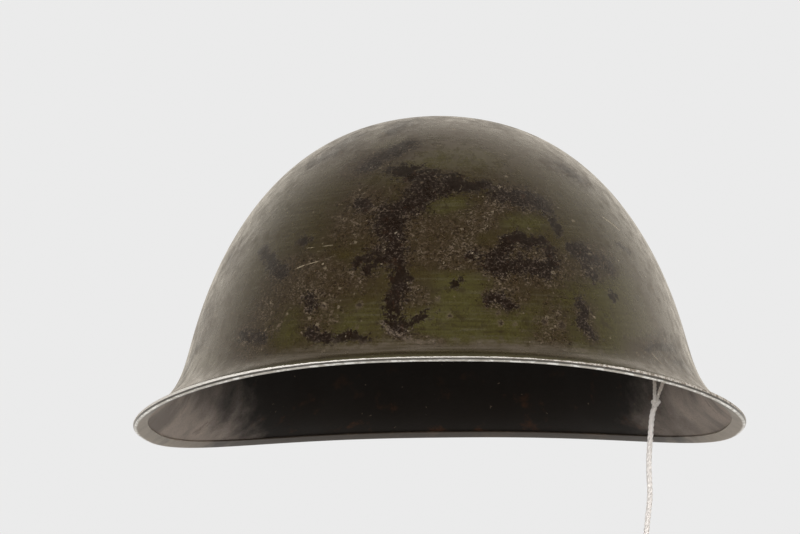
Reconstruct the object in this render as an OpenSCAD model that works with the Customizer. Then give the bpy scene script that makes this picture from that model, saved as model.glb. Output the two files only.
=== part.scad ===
// A pressed steel turtle helmet with a flared brim, its liner, its chinstrap loops and a tag string.
// Millimetres. The helmet faces -Y, and +X is the wearer's left. The origin is the centre of the
// headband at its lower edge, where the head carries the helmet.

/* [Shell] */
// Width of the shell over its bare edge, side to side
shell_w = 268.6; // [256:0.2:284]
// Reach of the bare edge in front of the crown
shell_front = 141; // [134:0.5:150]
// Reach of the bare edge behind the crown
shell_rear = 149.5; // [142:0.5:160]
// Height of the crown over the rim at the sides
crown_h = 140.5; // [136:0.5:150]
// Rise of the rim at the front over the sides
front_rise = 18.2; // [10:0.2:22]
// Rise of the rim at the rear over the sides
rear_rise = 10.4; // [5:0.2:14]
// Squareness of the rim's outline, where 2 is an ellipse
rim_power = 2.48; // [2.2:0.02:2.7]
// Squareness of the outline at the crown
crown_power = 1.94; // [1.9:0.02:2.2]
// Squareness of the dome's profile
dome_power = 2.3; // [2.1:0.05:2.5]
// Depth under the side rim at which the dome would be widest
dome_drop = 45.5; // [35:0.5:60]
// Thickness of the pressed sheet
sheet_t = 1.2; // [0.9:0.1:1.6]

/* [Flare] */
// Reach of the flare beyond the dome at the sides
side_flare = 17.3; // [12:0.1:22]
// Reach of the flare at the front
front_flare = 9.5; // [6:0.1:14]
// Reach of the flare at the rear
rear_flare = 12.5; // [8:0.1:18]
// Height of the flare at the sides
side_flare_h = 47; // [40:1:52]
// Height of the flare at the front
front_flare_h = 14; // [10:1:20]
// Height of the flare at the rear
rear_flare_h = 25; // [18:1:32]
// Sharpness of the flare's curve
flare_power = 4.36; // [3.5:0.02:5]

/* [Rim band] */
// Thickness of the folded strip
strip_t = 0.75; // [0.5:0.05:1]
// Width of the leg on the upper face, in plan
top_leg = 1.6; // [1.2:0.1:4]
// Width of the leg on the underside, in plan
under_leg = 3.8; // [2.5:0.1:7]

/* [Chinstrap lugs] */
// Height of the lug's rivet over the side rim
rivet_h = 69.5; // [68:0.5:74]
// Height of the loop's hinge over the side rim
hinge_h = 49; // [46:0.5:51]
// Side play of the loop on its lug, at each end of the lug
lug_play = 0.5; // [0.3:0.1:1.5]
// Thickness of the lug's plate
lug_t = 1.4; // [1:0.1:1.8]
// Radius of the lug rivet's shank
rivet_r = 2.4; // [1.8:0.1:2.8]
// Diameter of the loop's wire
wire_d = 3; // [2.4:0.1:3.4]
// Inside width of the loop, the widest strap it takes
loop_w = 22; // [20:0.5:26]
// Height of the loop from the hinge to its lower bar
loop_h = 22; // [19:0.5:24]

/* [Headband] */
// Height of the headband's lower edge over the side rim
band_h = 45; // [43:0.5:47]
// Height of the headband
headband_h = 30; // [28:1:34]
// Gap from the headband's top edge to the shell at the sides
side_gap = 13; // [11:0.5:18]
// Least gap from the headband's top edge to the shell at the front
front_gap = 7.5; // [7:0.5:12]
// Least gap from the headband's top edge to the shell at the rear
rear_gap = 11; // [9:0.5:16]
// Thickness of the fibre headband
headband_t = 2.2; // [1.6:0.1:2.6]
// Thickness of the leather sweatband
sweat_t = 1.2; // [0.8:0.1:1.6]

/* [Crown straps] */
// Width of a crown strap
strap_w = 22; // [18:1:26]
// Thickness of a crown strap
strap_t = 1.6; // [1.2:0.1:2]
// Radius of the crown pad
pad_r = 38; // [30:1:42]
// Thickness of the crown pad
pad_t = 8; // [5:0.5:10]
// Radius of the crown screw's shank
screw_r = 2.5; // [2:0.1:3]
// Length of the crown stud's boss
stud_h = 8; // [6:0.5:9]

/* [Rubber buffers] */
// Width of a buffer along the headband
buffer_w = 26; // [20:1:30]
// Height of a buffer
buffer_h = 22; // [16:1:24]
// Wall of a buffer
buffer_t = 2.6; // [2:0.1:3.2]

/* [Hidden] */
$fn = 48;

// Clearances: parts that touch, parts that face each other on two bodies, a pin in its bore,
// a shank in its hole, and the facets of the shell's inner face
touch = 0.05;
apart = 0.3;
running = 0.08;
hole_gap = 0.1;
facet = 0.3;
// How far the curved wall bows from a flat plate's middle to its edges
plate_bow = 0.45;
eps = 0.01;
// Length of a cutter that goes right through a wall
through = 20;

// Steps of the shell's mesh: round the rim, up the flare and up the dome
around = 72;
flare_rings = 8;
dome_rings = 12;
flare_spread = 1.4;

// Sizes that follow from the ones above
lift_wave = (front_rise + rear_rise) / 4;
lift_swing = (front_rise - rear_rise) / 2;
wire_r = wire_d / 2;
eye_r = wire_r + running;
eye_out = eye_r + lug_t;

// Plain helpers
function unit(v) = v / norm(v);
function signed_pow(v, p) = sign(v) * pow(abs(v), p);
function mix(a, b, k) = a + (b - a) * k;

// Height of the bare edge over the side rim, at t degrees round from the front
function edge_h(t) = lift_swing * cos(t) + lift_wave * (cos(2 * t) + 1);

// The dome's share of its full reach at height h
function dome_share(h) =
    pow(max(0, 1 - pow((h + dome_drop) / (crown_h + dome_drop), dome_power)), 1 / dome_power);
function outline_power(h) = mix(rim_power, crown_power, max(0, min(1, h / crown_h)));

// Reach of the dome at its widest level: to the side, to the front and to the rear
side_dome = (shell_w / 2 - side_flare) / dome_share(0);
front_dome = (shell_front - front_flare) / dome_share(front_rise);
rear_dome = (shell_rear - rear_flare) / dome_share(rear_rise);

// How much of the flare is left at height h, and how high it runs there
function flare_height(t) =
    side_flare_h * pow(sin(t), 2) + (cos(t) > 0 ? front_flare_h : rear_flare_h) * pow(cos(t), 2);
function flare_left(t, h) = pow(max(0, 1 - (h - edge_h(t)) / flare_height(t)), flare_power);
function flare_reach(full, dome, t) = full - dome * dome_share(edge_h(t));

// A point of the shell's outer face, with heights over the side rim
function outer(t, h) =
    let (share = dome_share(h), left = flare_left(t, h), p = 2 / outline_power(h),
        full_y = cos(t) > 0 ? shell_front : shell_rear,
        dome_y = cos(t) > 0 ? front_dome : rear_dome,
        a = side_dome * share + flare_reach(shell_w / 2, side_dome, t) * left,
        b = dome_y * share + flare_reach(full_y, dome_y, t) * left)
    [a * signed_pow(sin(t), p), -b * signed_pow(cos(t), p), h];

// The outward normal there, from two short steps over the face
function face_out(t, h) =
    unit(cross(outer(t + 0.2, h) - outer(t - 0.2, h), outer(t, h + 0.05) - outer(t, h - 0.05)));
function under(t, h, depth) = outer(t, h) - depth * face_out(t, h);

// Heights of the mesh's rings
function dome_angle(h) = asin(pow((h + dome_drop) / (crown_h + dome_drop), dome_power / 2));
function angle_height(a) =
    (crown_h + dome_drop) * pow(sin(a), 2 / dome_power) - dome_drop;
function ring_h(t, j) =
    let (foot = edge_h(t), rise = flare_height(t), start = dome_angle(foot + rise))
    j <= flare_rings
        ? foot + rise * pow(j / flare_rings, flare_spread)
        : angle_height(mix(start, 90, (j - flare_rings) / dome_rings));

// Triangles between two rings of n points that start at a and b, and from a ring to a single point
function ring_faces(a, b, n) =
    [for (i = [0 : n - 1]) let (k = (i + 1) % n) each [[a + i, b + k, a + k], [a + i, b + i, b + k]]];
function cap_faces(a, tip, n) = [for (i = [0 : n - 1]) [a + i, tip, a + (i + 1) % n]];
function flipped(faces) = [for (f = faces) [f[2], f[1], f[0]]];

rings = flare_rings + dome_rings;

// The lug's rivet, the loop's hinge and the loop's lower bar, on the wall at the side
function wall_x(h) = outer(90, h)[0];
function wall_lean(h) = atan((wall_x(h - 0.5) - wall_x(h + 0.5)));
lean = wall_lean(rivet_h);
rivet_out = [cos(lean), 0, sin(lean)];
rivet_foot = [wall_x(rivet_h), 0, rivet_h - band_h] - (sheet_t + plate_bow) * rivet_out;
lug_half = 6;
eye_x = rivet_foot[0] + lug_half * sin(lean) - eye_out;
eye_z = hinge_h - band_h;
bar_z = eye_z - loop_h;

// The loop's legs and its rounded corners, and the lug that fits between them
leg_y = loop_w / 2 + wire_r;
top_corner = 3;
low_corner = 5;
bar_half = leg_y - top_corner;
low_half = leg_y - low_corner;
lug_w = 2 * (bar_half - lug_play);

// Half sizes of the headband's outer face, which stands off the shell's inner face at its top edge
function inner_reach(dome, h) = dome * dome_share(h) - sheet_t / cos(wall_lean(h));
band_top = band_h + headband_h;
band_a = inner_reach(side_dome, band_top) - side_gap;
band_b = min(inner_reach(front_dome, band_top) - front_gap,
    inner_reach(rear_dome, band_top) - rear_gap);

// Gap between the sweatband and the headband
sweat_gap = 0.7;
sweat_in = headband_t + sweat_gap;

// Levels of the stack under the crown, from the top down
crown_in = crown_h - sheet_t - band_h;
flange_r = 9;
flange_t = 1.5;
boss_r = 5;
crown_bow = 0.35;
stud_top = crown_in - crown_bow;
boss_end = stud_top - flange_t - stud_h;
plate_t = 1.5;
plate_r = 15;
plate_z = boss_end - touch - plate_t;
cross_z = plate_z - touch - strap_t;
long_z = cross_z - touch - strap_t;
washer_t = 1.2;
washer_r = 11;
washer_z = long_z - touch - washer_t;
head_r = 5.5;
head_t = 2.2;
head_z = washer_z - head_t;

// The crown straps' run: half of the flat over the crown, and the leg on the headband
flat_half = 16;
leg_top = headband_h + 1;
leg_foot = 5;
strap_hole_z = 9.5;

// Rivets of the liner, and how far the band bows from a rivet head's middle to its edge
small_r = 1.5;
small_head_r = 3;
small_head_t = 0.4;
big_head_t = 0.9;
band_bow = 0.2;

// Buffers: how far round from the front each pair sits
buffer_turns = [25, 58, 122, 155];
buffer_z = (headband_h - buffer_h) / 2;

// The tag string: its diameter, that of its hanging end, where two strands are laid together, and
// its run over the loop's lower bar and down, from the bar's middle
string_d = 1.8;
tail_d = 2.6;
string_sides = 8;
loop_route = [[-1.2, -1, -14.6], [-1.3, -1, -12.6], [-1.25, -0.9, -10.2], [-1.15, -0.7, -7.6],
    [-1.4, -0.5, -4.8], [-2.3, -0.2, -2.3], [-2.7, 0, 0], [-2.2, 0, 1.6], [-1.1, 0, 2.5],
    [0.3, 0, 2.7], [1.6, 0, 2.2], [2.5, 0, 1.1], [2.9, 0, -0.6], [3, 0.2, -2.8], [2.8, 0.5, -5.2],
    [2.1, 0.8, -7.8], [1.1, 0.9, -10.2], [0.2, 1, -12.6], [-0.5, 1, -14.6]];
tail_route = [[-1.1, 0, -16.4], [-1.7, 0.1, -18.2], [-2.4, 0.2, -20.4], [-2.8, 0.2, -23],
    [-3.1, 0.1, -26], [-3.45, -0.1, -29.4], [-3.8, -0.2, -33], [-4.15, -0.1, -37], [-4.4, 0, -41],
    [-4.5, 0.1, -45], [-4.45, 0.2, -49], [-4.3, 0.1, -53.2], [-4.35, 0, -57.4], [-4.75, 0, -61.6],
    [-5.3, 0, -65.8], [-5.8, 0, -70], [-6.3, 0, -74.4], [-6.7, 0, -78.8], [-7, 0, -83.2],
    [-7.2, 0, -87], [-7.25, 0, -89]];
knot_at = [-0.8, 0, -15.5];
knot_r = 1.7;
knot_half = 0.9;
end_knot_at = [-7.3, 0, -89.5];
end_knot_r = 2.3;

// A closed tube swept along a route, with its rings square to the run
function run_at(r, i) = unit(r[min(i + 1, len(r) - 1)] - r[max(i - 1, 0)]);
module tube(route, d) {
    n = string_sides;
    count = len(route);
    points = [for (i = [0 : count - 1])
        let (dir = run_at(route, i), u = unit(cross(dir, [0, 1, 0])), v = cross(dir, u))
        for (k = [0 : n - 1])
            route[i] + d / 2 * (cos(360 * (k + 0.5) / n) * u + sin(360 * (k + 0.5) / n) * v)];
    sides = [for (i = [0 : count - 2]) each ring_faces(i * n, (i + 1) * n, n)];
    start = count * n;
    ends = concat(flipped(cap_faces(0, start, n)), cap_faces((count - 1) * n, start + 1, n));
    polyhedron(concat(points, [route[0], route[count - 1]]), concat(sides, ends));
}

// The bowl of sheet: an outer and an inner face, closed along the edge and at the crown
module bowl() {
    n = around;
    grid = [for (j = [0 : rings - 1]) for (i = [0 : n - 1])
        let (t = 360 * i / n) [t, ring_h(t, j)]];
    faces_up = [for (g = grid) outer(g[0], g[1])];
    faces_in = [for (g = grid) under(g[0], g[1], sheet_t)];
    base = len(grid);
    tips = [[0, 0, crown_h], [0, 0, crown_h - sheet_t]];
    skin = [for (j = [0 : rings - 2]) each ring_faces(j * n, (j + 1) * n, n)];
    top = cap_faces((rings - 1) * n, 2 * base, n);
    skin_in = [for (j = [0 : rings - 2]) each ring_faces(base + j * n, base + (j + 1) * n, n)];
    top_in = cap_faces(base + (rings - 1) * n, 2 * base + 1, n);
    edge = ring_faces(base, 0, n);
    polyhedron(concat(faces_up, faces_in, tips),
        concat(skin, top, flipped(skin_in), flipped(top_in), edge));
}

module mirrored(right) {
    if (right) mirror([1, 0, 0]) children();
    else children();
}

// Puts a piece on the lug rivet's axis, with +Z out through the wall
module on_rivet() {
    translate(rivet_foot) rotate([0, 90 - lean, 0]) children();
}

module shell() {
    color([0.27, 0.28, 0.19])
    difference() {
        translate([0, 0, -band_h]) bowl();
        for (right = [false, true]) mirrored(right)
            on_rivet() cylinder(r = rivet_r + hole_gap, h = through / 2, center = true, $fn = 24);
    }
}

// The folded strip: a leg on each face of the sheet, and a round fold over the edge
function leg_height(t, run) =
    let (reach = flare_reach(shell_w / 2, side_dome, t) * pow(sin(t), 2)
            + (cos(t) > 0 ? front_flare : rear_flare) * pow(cos(t), 2))
    edge_h(t) + flare_height(t) * (1 - pow(1 - run / reach, 1 / flare_power));

module rim_band() {
    n = around;
    leg_steps = 3;
    fold_steps = 5;
    fold_out = sheet_t / 2 + touch + strip_t;
    fold_in = sheet_t / 2 + touch;
    section = function (t)
        let (foot = edge_h(t), up = face_out(t, foot),
            along = unit(outer(t, foot) - outer(t, foot + 0.2)),
            centre = outer(t, foot) - sheet_t / 2 * up + 0.2 * along)
        concat(
            [for (k = [leg_steps : -1 : 1])
                under(t, leg_height(t, top_leg * k / leg_steps), -touch - strip_t)],
            [for (k = [0 : fold_steps]) let (a = 90 - 180 * k / fold_steps)
                centre + fold_out * (sin(a) * up + cos(a) * along)],
            [for (k = [1 : leg_steps])
                under(t, leg_height(t, under_leg * k / leg_steps), sheet_t + touch + strip_t)],
            [for (k = [leg_steps : -1 : 1])
                under(t, leg_height(t, under_leg * k / leg_steps), sheet_t + touch)],
            [for (k = [0 : fold_steps]) let (a = -90 + 180 * k / fold_steps)
                centre + fold_in * (sin(a) * up + cos(a) * along)],
            [for (k = [1 : leg_steps])
                under(t, leg_height(t, top_leg * k / leg_steps), -touch)]);
    size = 4 * leg_steps + 2 * (fold_steps + 1);
    points = [for (i = [0 : n - 1]) each section(360 * i / n)];
    faces = [for (i = [0 : n - 1])
        each ring_faces(i * size, ((i + 1) % n) * size, size)];
    color([0.62, 0.6, 0.56])
    translate([0, 0, -band_h]) polyhedron(points, flipped(faces));
}

module crown_stud() {
    color([0.3, 0.3, 0.24])
    difference() {
        union() {
            translate([0, 0, stud_top - flange_t]) cylinder(r = flange_r, h = flange_t);
            translate([0, 0, boss_end]) cylinder(r = boss_r, h = stud_h + eps);
        }
        translate([0, 0, boss_end - 1]) cylinder(r = screw_r + running, h = stud_h + 1);
    }
}

// The lug: a plate riveted to the wall, bent to hang plumb, and curled round the loop's wire
module lug(right) {
    foot = [rivet_foot[0], rivet_foot[2]];
    up = [-sin(lean), cos(lean)];
    out = [cos(lean), sin(lean)];
    bend_drop = lug_t * tan(lean / 2);
    bend = foot - lug_half * up;
    side = [foot + lug_half * up, bend, [bend[0], eye_z], [bend[0] - lug_t, eye_z],
        bend - lug_t * out + [lug_t * cos(lean) - lug_t, bend_drop * cos(lean) / 2],
        foot + lug_half * up - lug_t * out];
    color([0.42, 0.4, 0.33])
    mirrored(right)
    difference() {
        union() {
            rotate([90, 0, 0]) linear_extrude(lug_w, center = true) polygon(side);
            translate([eye_x, 0, eye_z]) rotate([90, 0, 0]) cylinder(r = eye_out, h = lug_w, center = true);
        }
        translate([eye_x, 0, eye_z]) rotate([90, 0, 0]) cylinder(r = eye_r, h = lug_w + 2, center = true);
        on_rivet() cylinder(r = rivet_r + hole_gap, h = through / 2, center = true);
    }
}

module lug_rivet(right) {
    head_out_t = 0.6;
    head_in_t = 1.4;
    outside = plate_bow + sheet_t + touch;
    color([0.3, 0.3, 0.22])
    mirrored(right)
    on_rivet() {
        translate([0, 0, outside]) cylinder(r1 = rivet_r + 2.6, r2 = rivet_r + 1, h = head_out_t);
        translate([0, 0, -lug_t - touch - eps])
            cylinder(r = rivet_r, h = outside + lug_t + touch + 2 * eps);
        translate([0, 0, -lug_t - touch - head_in_t])
            cylinder(r1 = rivet_r + 0.6, r2 = rivet_r + 2, h = head_in_t);
    }
}

module wire_corner(r) {
    rotate_extrude(angle = 90) translate([r, 0]) circle(r = wire_r, $fn = 32);
}

// The wire loop, closed round its hinge bar
module loop(right) {
    color([0.5, 0.48, 0.42])
    mirrored(right)
    translate([eye_x, 0, eye_z]) {
        rotate([90, 0, 0]) cylinder(r = wire_r, h = 2 * bar_half, center = true);
        translate([0, 0, -loop_h]) rotate([90, 0, 0]) cylinder(r = wire_r, h = 2 * low_half, center = true);
        for (s = [-1, 1]) {
            translate([0, s * leg_y, -loop_h + low_corner])
                cylinder(r = wire_r, h = loop_h - low_corner - top_corner);
            translate([0, s * bar_half, -top_corner])
                rotate([0, -90, 0]) rotate([0, 0, s > 0 ? 0 : -90]) wire_corner(top_corner);
            translate([0, s * low_half, -loop_h + low_corner])
                rotate([0, -90, 0]) rotate([0, 0, s > 0 ? 90 : 180]) wire_corner(low_corner);
        }
    }
}

// A flat oval, with half sizes a and b
module oval(a, b) {
    polygon([for (i = [0 : 95]) let (t = 360 * i / 96) [a * sin(t), -b * cos(t)]]);
}

module band_ring(a, b, t, h) {
    linear_extrude(h) difference() {
        oval(a, b);
        oval(a - t, b - t);
    }
}

// Puts a piece on the headband's outer face, t degrees round, at height z, with +X straight out
function band_point(t) = [band_a * sin(t), -band_b * cos(t)];
function band_out(t) = unit([sin(t) / band_a, -cos(t) / band_b]);
module on_band(t, z) {
    p = band_point(t);
    d = band_out(t);
    translate([p[0], p[1], z]) rotate([0, 0, atan2(d[1], d[0])]) children();
}

module headband() {
    color([0.36, 0.27, 0.17])
    difference() {
        band_ring(band_a, band_b, headband_t, headband_h);
        for (t = [0 : 90 : 270]) on_band(t, strap_hole_z) cross_hole();
        for (t = buffer_turns, s = [-1, 1]) on_band(s * t, headband_h / 2) cross_hole();
    }
}

module cross_hole() {
    rotate([0, 90, 0]) cylinder(r = small_r + hole_gap, h = through, center = true);
}

module sweatband() {
    color([0.3, 0.2, 0.12])
    translate([0, 0, 0.5])
    band_ring(band_a - sweat_in, band_b - sweat_in, sweat_t, headband_h - 1);
}

// Outline of a crown strap seen along its width, from its reach to each end and the level of its
// underside: a leg on the headband, an arc that leans in over it, and a flat over the crown
function strap_arc(reach, level, grow) =
    let (start = asin(leg_top / level), r = (reach - flat_half) / cos(start))
    [for (k = [0 : 12]) let (a = mix(start, 90, k / 12))
        [flat_half + (r + grow) * cos(a), (level + grow) * sin(a)]];
function flipped_x(points) = [for (p = points) [-p[0], p[1]]];
function backwards(points) = [for (i = [len(points) - 1 : -1 : 0]) points[i]];
module strap(reach, level) {
    inner = concat([[reach, leg_foot]], strap_arc(reach, level, 0));
    outside = concat([[reach + strap_t, leg_foot], [reach + strap_t, leg_top]],
        strap_arc(reach, level, strap_t));
    linear_extrude(strap_w, center = true)
        polygon(concat(inner, backwards(flipped_x(inner)), flipped_x(outside), backwards(outside)));
}

module crown_strap_long() {
    color([0.5, 0.44, 0.3])
    difference() {
        rotate([90, 0, 90]) strap(band_b + touch, long_z);
        cylinder(r = screw_r + hole_gap, h = crown_in + 1);
        for (t = [0, 180]) on_band(t, strap_hole_z) cross_hole();
    }
}

module crown_strap_cross() {
    color([0.5, 0.44, 0.3])
    difference() {
        rotate([90, 0, 0]) strap(band_a + touch, cross_z);
        cylinder(r = screw_r + hole_gap, h = crown_in + 1);
        for (t = [90, 270]) on_band(t, strap_hole_z) cross_hole();
    }
}

// A rivet through the headband: a flat head inside, and a head on what it holds
module band_rivet(grip) {
    seat = headband_t + band_bow;
    rotate([0, 90, 0]) {
        translate([0, 0, -seat - small_head_t]) cylinder(r = small_head_r, h = small_head_t);
        translate([0, 0, -seat - eps]) cylinder(r = small_r, h = seat + grip + 2 * eps);
        translate([0, 0, grip]) cylinder(r1 = small_head_r, r2 = small_head_r - 0.8, h = big_head_t);
    }
}

module strap_rivets() {
    color([0.55, 0.5, 0.36])
    for (t = [0 : 90 : 270]) on_band(t, strap_hole_z) band_rivet(strap_t + 2 * touch);
}

module crown_plate() {
    color([0.45, 0.44, 0.38])
    translate([0, 0, plate_z]) difference() {
        cylinder(r = plate_r, h = plate_t);
        translate([0, 0, -1]) cylinder(r = screw_r + hole_gap, h = plate_t + 2);
    }
}

module clamp_washer() {
    color([0.55, 0.54, 0.48])
    translate([0, 0, washer_z]) difference() {
        cylinder(r = washer_r, h = washer_t);
        translate([0, 0, -1]) cylinder(r = screw_r + hole_gap, h = washer_t + 2);
    }
}

module crown_screw() {
    slot_w = 1.4;
    slot_t = 1.2;
    color([0.6, 0.58, 0.5])
    difference() {
        union() {
            translate([0, 0, head_z]) cylinder(r1 = head_r - 0.8, r2 = head_r, h = head_t - touch);
            translate([0, 0, washer_z - touch - eps])
                cylinder(r = screw_r, h = boss_end + stud_h - 1.5 - washer_z);
        }
        translate([0, 0, head_z]) cube([2 * head_r + 2, slot_w, 2 * slot_t], center = true);
    }
}

module crown_pad() {
    rim_fall = 2.8;
    hole_r = washer_r + 2;
    top = long_z - touch - 0.2;
    color([0.25, 0.24, 0.2])
    rotate_extrude($fn = 96) polygon([[hole_r, top - pad_t], [hole_r, top], [flat_half, top],
        [mix(flat_half, pad_r, 0.6), top - rim_fall * 0.42], [pad_r, top - rim_fall],
        [pad_r + 1.5, top - rim_fall - 1.5], [pad_r + 1.5, top - rim_fall - pad_t + 3],
        [pad_r - 1, top - rim_fall - pad_t + 1.5], [mix(flat_half, pad_r, 0.5), top - pad_t - 0.4]]);
}

// Half sizes of the shell's inner face at height h, taken in by the facets and a clearance
function inner_half(dome, h) = inner_reach(dome, h) - facet - apart;
function inside(p, h) =
    let (n = outline_power(h), b = inner_half(p[1] < 0 ? front_dome : rear_dome, h))
    pow(abs(p[0] / inner_half(side_dome, h)), n) + pow(abs(p[1] / b), n) < 1;
function reach_out(p, d, h, low, high, steps) =
    let (middle = (low + high) / 2)
    steps == 0 ? low
        : inside(p + middle * d, h) ? reach_out(p, d, h, middle, high, steps - 1)
        : reach_out(p, d, h, low, middle, steps - 1);

// Free depth for a buffer at height z: the least over its width
function buffer_depth(t, z) =
    let (p = band_point(t), d = band_out(t), side = [-d[1], d[0]] * buffer_w / 2, h = z + band_h)
    min([for (s = [-1, 0, 1]) reach_out(p + s * side, d, h, 0, 60, 14)]);

// A hollow rubber block, open at top and bottom, that fills the space from the band to the shell
module buffer(t) {
    low = buffer_depth(t, buffer_z);
    high = buffer_depth(t, buffer_z + buffer_h);
    round_r = 4;
    color([0.12, 0.12, 0.12])
    on_band(t, 0) difference() {
        intersection() {
            rotate([90, 0, 0]) linear_extrude(buffer_w, center = true)
                polygon([[touch, buffer_z], [low, buffer_z], [high, buffer_z + buffer_h],
                    [touch, buffer_z + buffer_h]]);
            rounded_block(touch, low, buffer_w, round_r);
        }
        rounded_block(touch + buffer_t, high - buffer_t, buffer_w - 2 * buffer_t, round_r - buffer_t);
        translate([0, 0, headband_h / 2]) cross_hole_to(touch + buffer_t);
    }
}

module cross_hole_to(depth) {
    rotate([0, 90, 0]) cylinder(r = small_r + hole_gap, h = 2 * depth + 1, center = true);
}

// A block from x0 to x1, w wide, taller than the band, with its four upright edges rounded
module rounded_block(x0, x1, w, r) {
    linear_extrude(headband_h) polygon(concat(
        corner(x0 + r, -w / 2 + r, r, 180), corner(x1 - r, -w / 2 + r, r, 270),
        corner(x1 - r, w / 2 - r, r, 0), corner(x0 + r, w / 2 - r, r, 90)));
}
function corner(x, y, r, from) =
    [for (k = [0 : 4]) let (a = from + 90 * k / 4) [x + r * cos(a), y + r * sin(a)]];

module buffer_rivets() {
    color([0.55, 0.5, 0.36])
    for (t = buffer_turns, s = [-1, 1]) on_band(s * t, headband_h / 2)
        band_rivet(buffer_t + 2 * touch);
}

// Puts a piece on the middle of the left loop's lower bar
module on_bar() {
    translate([eye_x, 0, bar_z]) children();
}

module tag_string_loop() {
    color([0.85, 0.82, 0.74]) on_bar() tube(loop_route, string_d);
}

module tag_knot() {
    color([0.88, 0.86, 0.8]) on_bar() {
        for (s = [-1, 1]) translate(knot_at + [0, s * knot_half, 0]) sphere(r = knot_r, $fn = 24);
        translate(knot_at) rotate([90, 0, 0])
            cylinder(r = knot_r, h = 2 * knot_half, center = true, $fn = 24);
    }
}

module tag_string() {
    color([0.85, 0.82, 0.74]) on_bar() tube(tail_route, tail_d);
}

module tag_end_knot() {
    color([0.88, 0.86, 0.8]) on_bar()
        translate(end_knot_at) sphere(r = end_knot_r, $fn = 24);
}

shell();
rim_band();
crown_stud();
lug(false);  // lug_left
lug(true);  // lug_right
lug_rivet(false);  // lug_rivet_left
lug_rivet(true);  // lug_rivet_right
loop(false);  // loop_left
loop(true);  // loop_right
headband();
sweatband();
crown_strap_long();
crown_strap_cross();
strap_rivets();
crown_plate();
clamp_washer();
crown_screw();
crown_pad();
buffer(buffer_turns[0]);  // buffer_front_left
buffer(buffer_turns[1]);  // buffer_temple_left
buffer(buffer_turns[2]);  // buffer_back_left
buffer(buffer_turns[3]);  // buffer_nape_left
buffer(-buffer_turns[0]);  // buffer_front_right
buffer(-buffer_turns[1]);  // buffer_temple_right
buffer(-buffer_turns[2]);  // buffer_back_right
buffer(-buffer_turns[3]);  // buffer_nape_right
buffer_rivets();
tag_string_loop();
tag_knot();
tag_string();
tag_end_knot();
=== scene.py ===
"""The looks of a pressed steel turtle helmet: its worn paint, rim band, liner, loops and tag string.

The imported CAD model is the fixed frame, with +Z up. The helmet faces -Y, and +X is the wearer's
left. Sizes and places are in millimetres, and MM turns them into the scene's metres.
"""
import math
import random

import bpy
import numpy as np
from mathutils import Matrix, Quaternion, Vector, noise


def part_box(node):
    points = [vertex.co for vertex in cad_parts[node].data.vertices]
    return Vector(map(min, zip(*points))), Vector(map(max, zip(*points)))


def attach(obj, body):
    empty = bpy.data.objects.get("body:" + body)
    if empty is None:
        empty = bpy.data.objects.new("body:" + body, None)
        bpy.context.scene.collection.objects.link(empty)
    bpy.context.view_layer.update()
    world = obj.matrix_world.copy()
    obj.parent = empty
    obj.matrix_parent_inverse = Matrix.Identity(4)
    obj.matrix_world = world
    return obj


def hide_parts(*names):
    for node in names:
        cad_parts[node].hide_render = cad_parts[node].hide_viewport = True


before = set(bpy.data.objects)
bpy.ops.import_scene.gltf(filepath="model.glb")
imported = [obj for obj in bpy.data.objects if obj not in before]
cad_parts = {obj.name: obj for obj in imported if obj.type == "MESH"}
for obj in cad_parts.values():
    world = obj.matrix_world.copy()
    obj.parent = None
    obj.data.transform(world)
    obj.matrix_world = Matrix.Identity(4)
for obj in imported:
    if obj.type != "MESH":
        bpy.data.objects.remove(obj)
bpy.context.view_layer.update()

MM = 0.001
random.seed(7)

# The camera, where the photograph's stood
camera_data = bpy.data.cameras.new("camera")
camera_data.lens = 120.1
camera_data.sensor_width = 36
camera = bpy.data.objects.new("camera", camera_data)
bpy.context.scene.collection.objects.link(camera)
camera.location = (0.02135, -1.19831, -0.14150)
camera_aim = Vector((-0.0171, -0.0109, 0.0279))
camera_roll = math.radians(-0.4209)
camera.rotation_mode = "QUATERNION"
camera.rotation_quaternion = (camera_aim - camera.location).to_track_quat("-Z", "Y") @ Quaternion(
    (0, 0, 1), camera_roll)
bpy.context.scene.camera = camera

# Sizes repeated from the part's source
SHELL_W = 268.6
SHELL_FRONT = 141
SHELL_REAR = 149.5
CROWN_H = 140.5
FRONT_RISE = 18.2
REAR_RISE = 10.4
RIM_POWER = 2.48
CROWN_POWER = 1.94
DOME_POWER = 2.3
DOME_DROP = 45.5
SHEET_T = 1.2
SIDE_FLARE = 17.3
FRONT_FLARE = 9.5
REAR_FLARE = 12.5
SIDE_FLARE_H = 47
FRONT_FLARE_H = 14
REAR_FLARE_H = 25
FLARE_POWER = 4.36
STRIP_T = 0.75
TOP_LEG = 1.6
UNDER_LEG = 3.8
TOUCH = 0.05
BAND_H = 45
HEADBAND_H = 30
HEADBAND_T = 2.2
SWEAT_T = 1.2
STRAP_W = 22
STRAP_T = 1.6
WIRE_R = 1.5
STRING_D = 1.8
TAIL_D = 2.6
LIFT_WAVE = (FRONT_RISE + REAR_RISE) / 4
LIFT_SWING = (FRONT_RISE - REAR_RISE) / 2


# Modelling helpers

def clear_selection():
    """Leaves nothing selected, so that an operator acts on the next piece alone."""
    bpy.ops.object.select_all(action="DESELECT")


def pick(piece):
    clear_selection()
    piece.select_set(True)
    bpy.context.view_layer.objects.active = piece


def whole_mesh(piece, *steps):
    """Runs edit-mode steps on all of a piece's mesh."""
    pick(piece)
    bpy.ops.object.mode_set(mode="EDIT")
    bpy.ops.mesh.select_all(action="SELECT")
    for step in steps:
        step()
    bpy.ops.object.mode_set(mode="OBJECT")


def merge_points():
    bpy.ops.mesh.remove_doubles(threshold=0.01 * MM)


def face_outwards():
    bpy.ops.mesh.normals_make_consistent(inside=False)


def close_holes():
    bpy.ops.mesh.fill_holes(sides=0)


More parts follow.
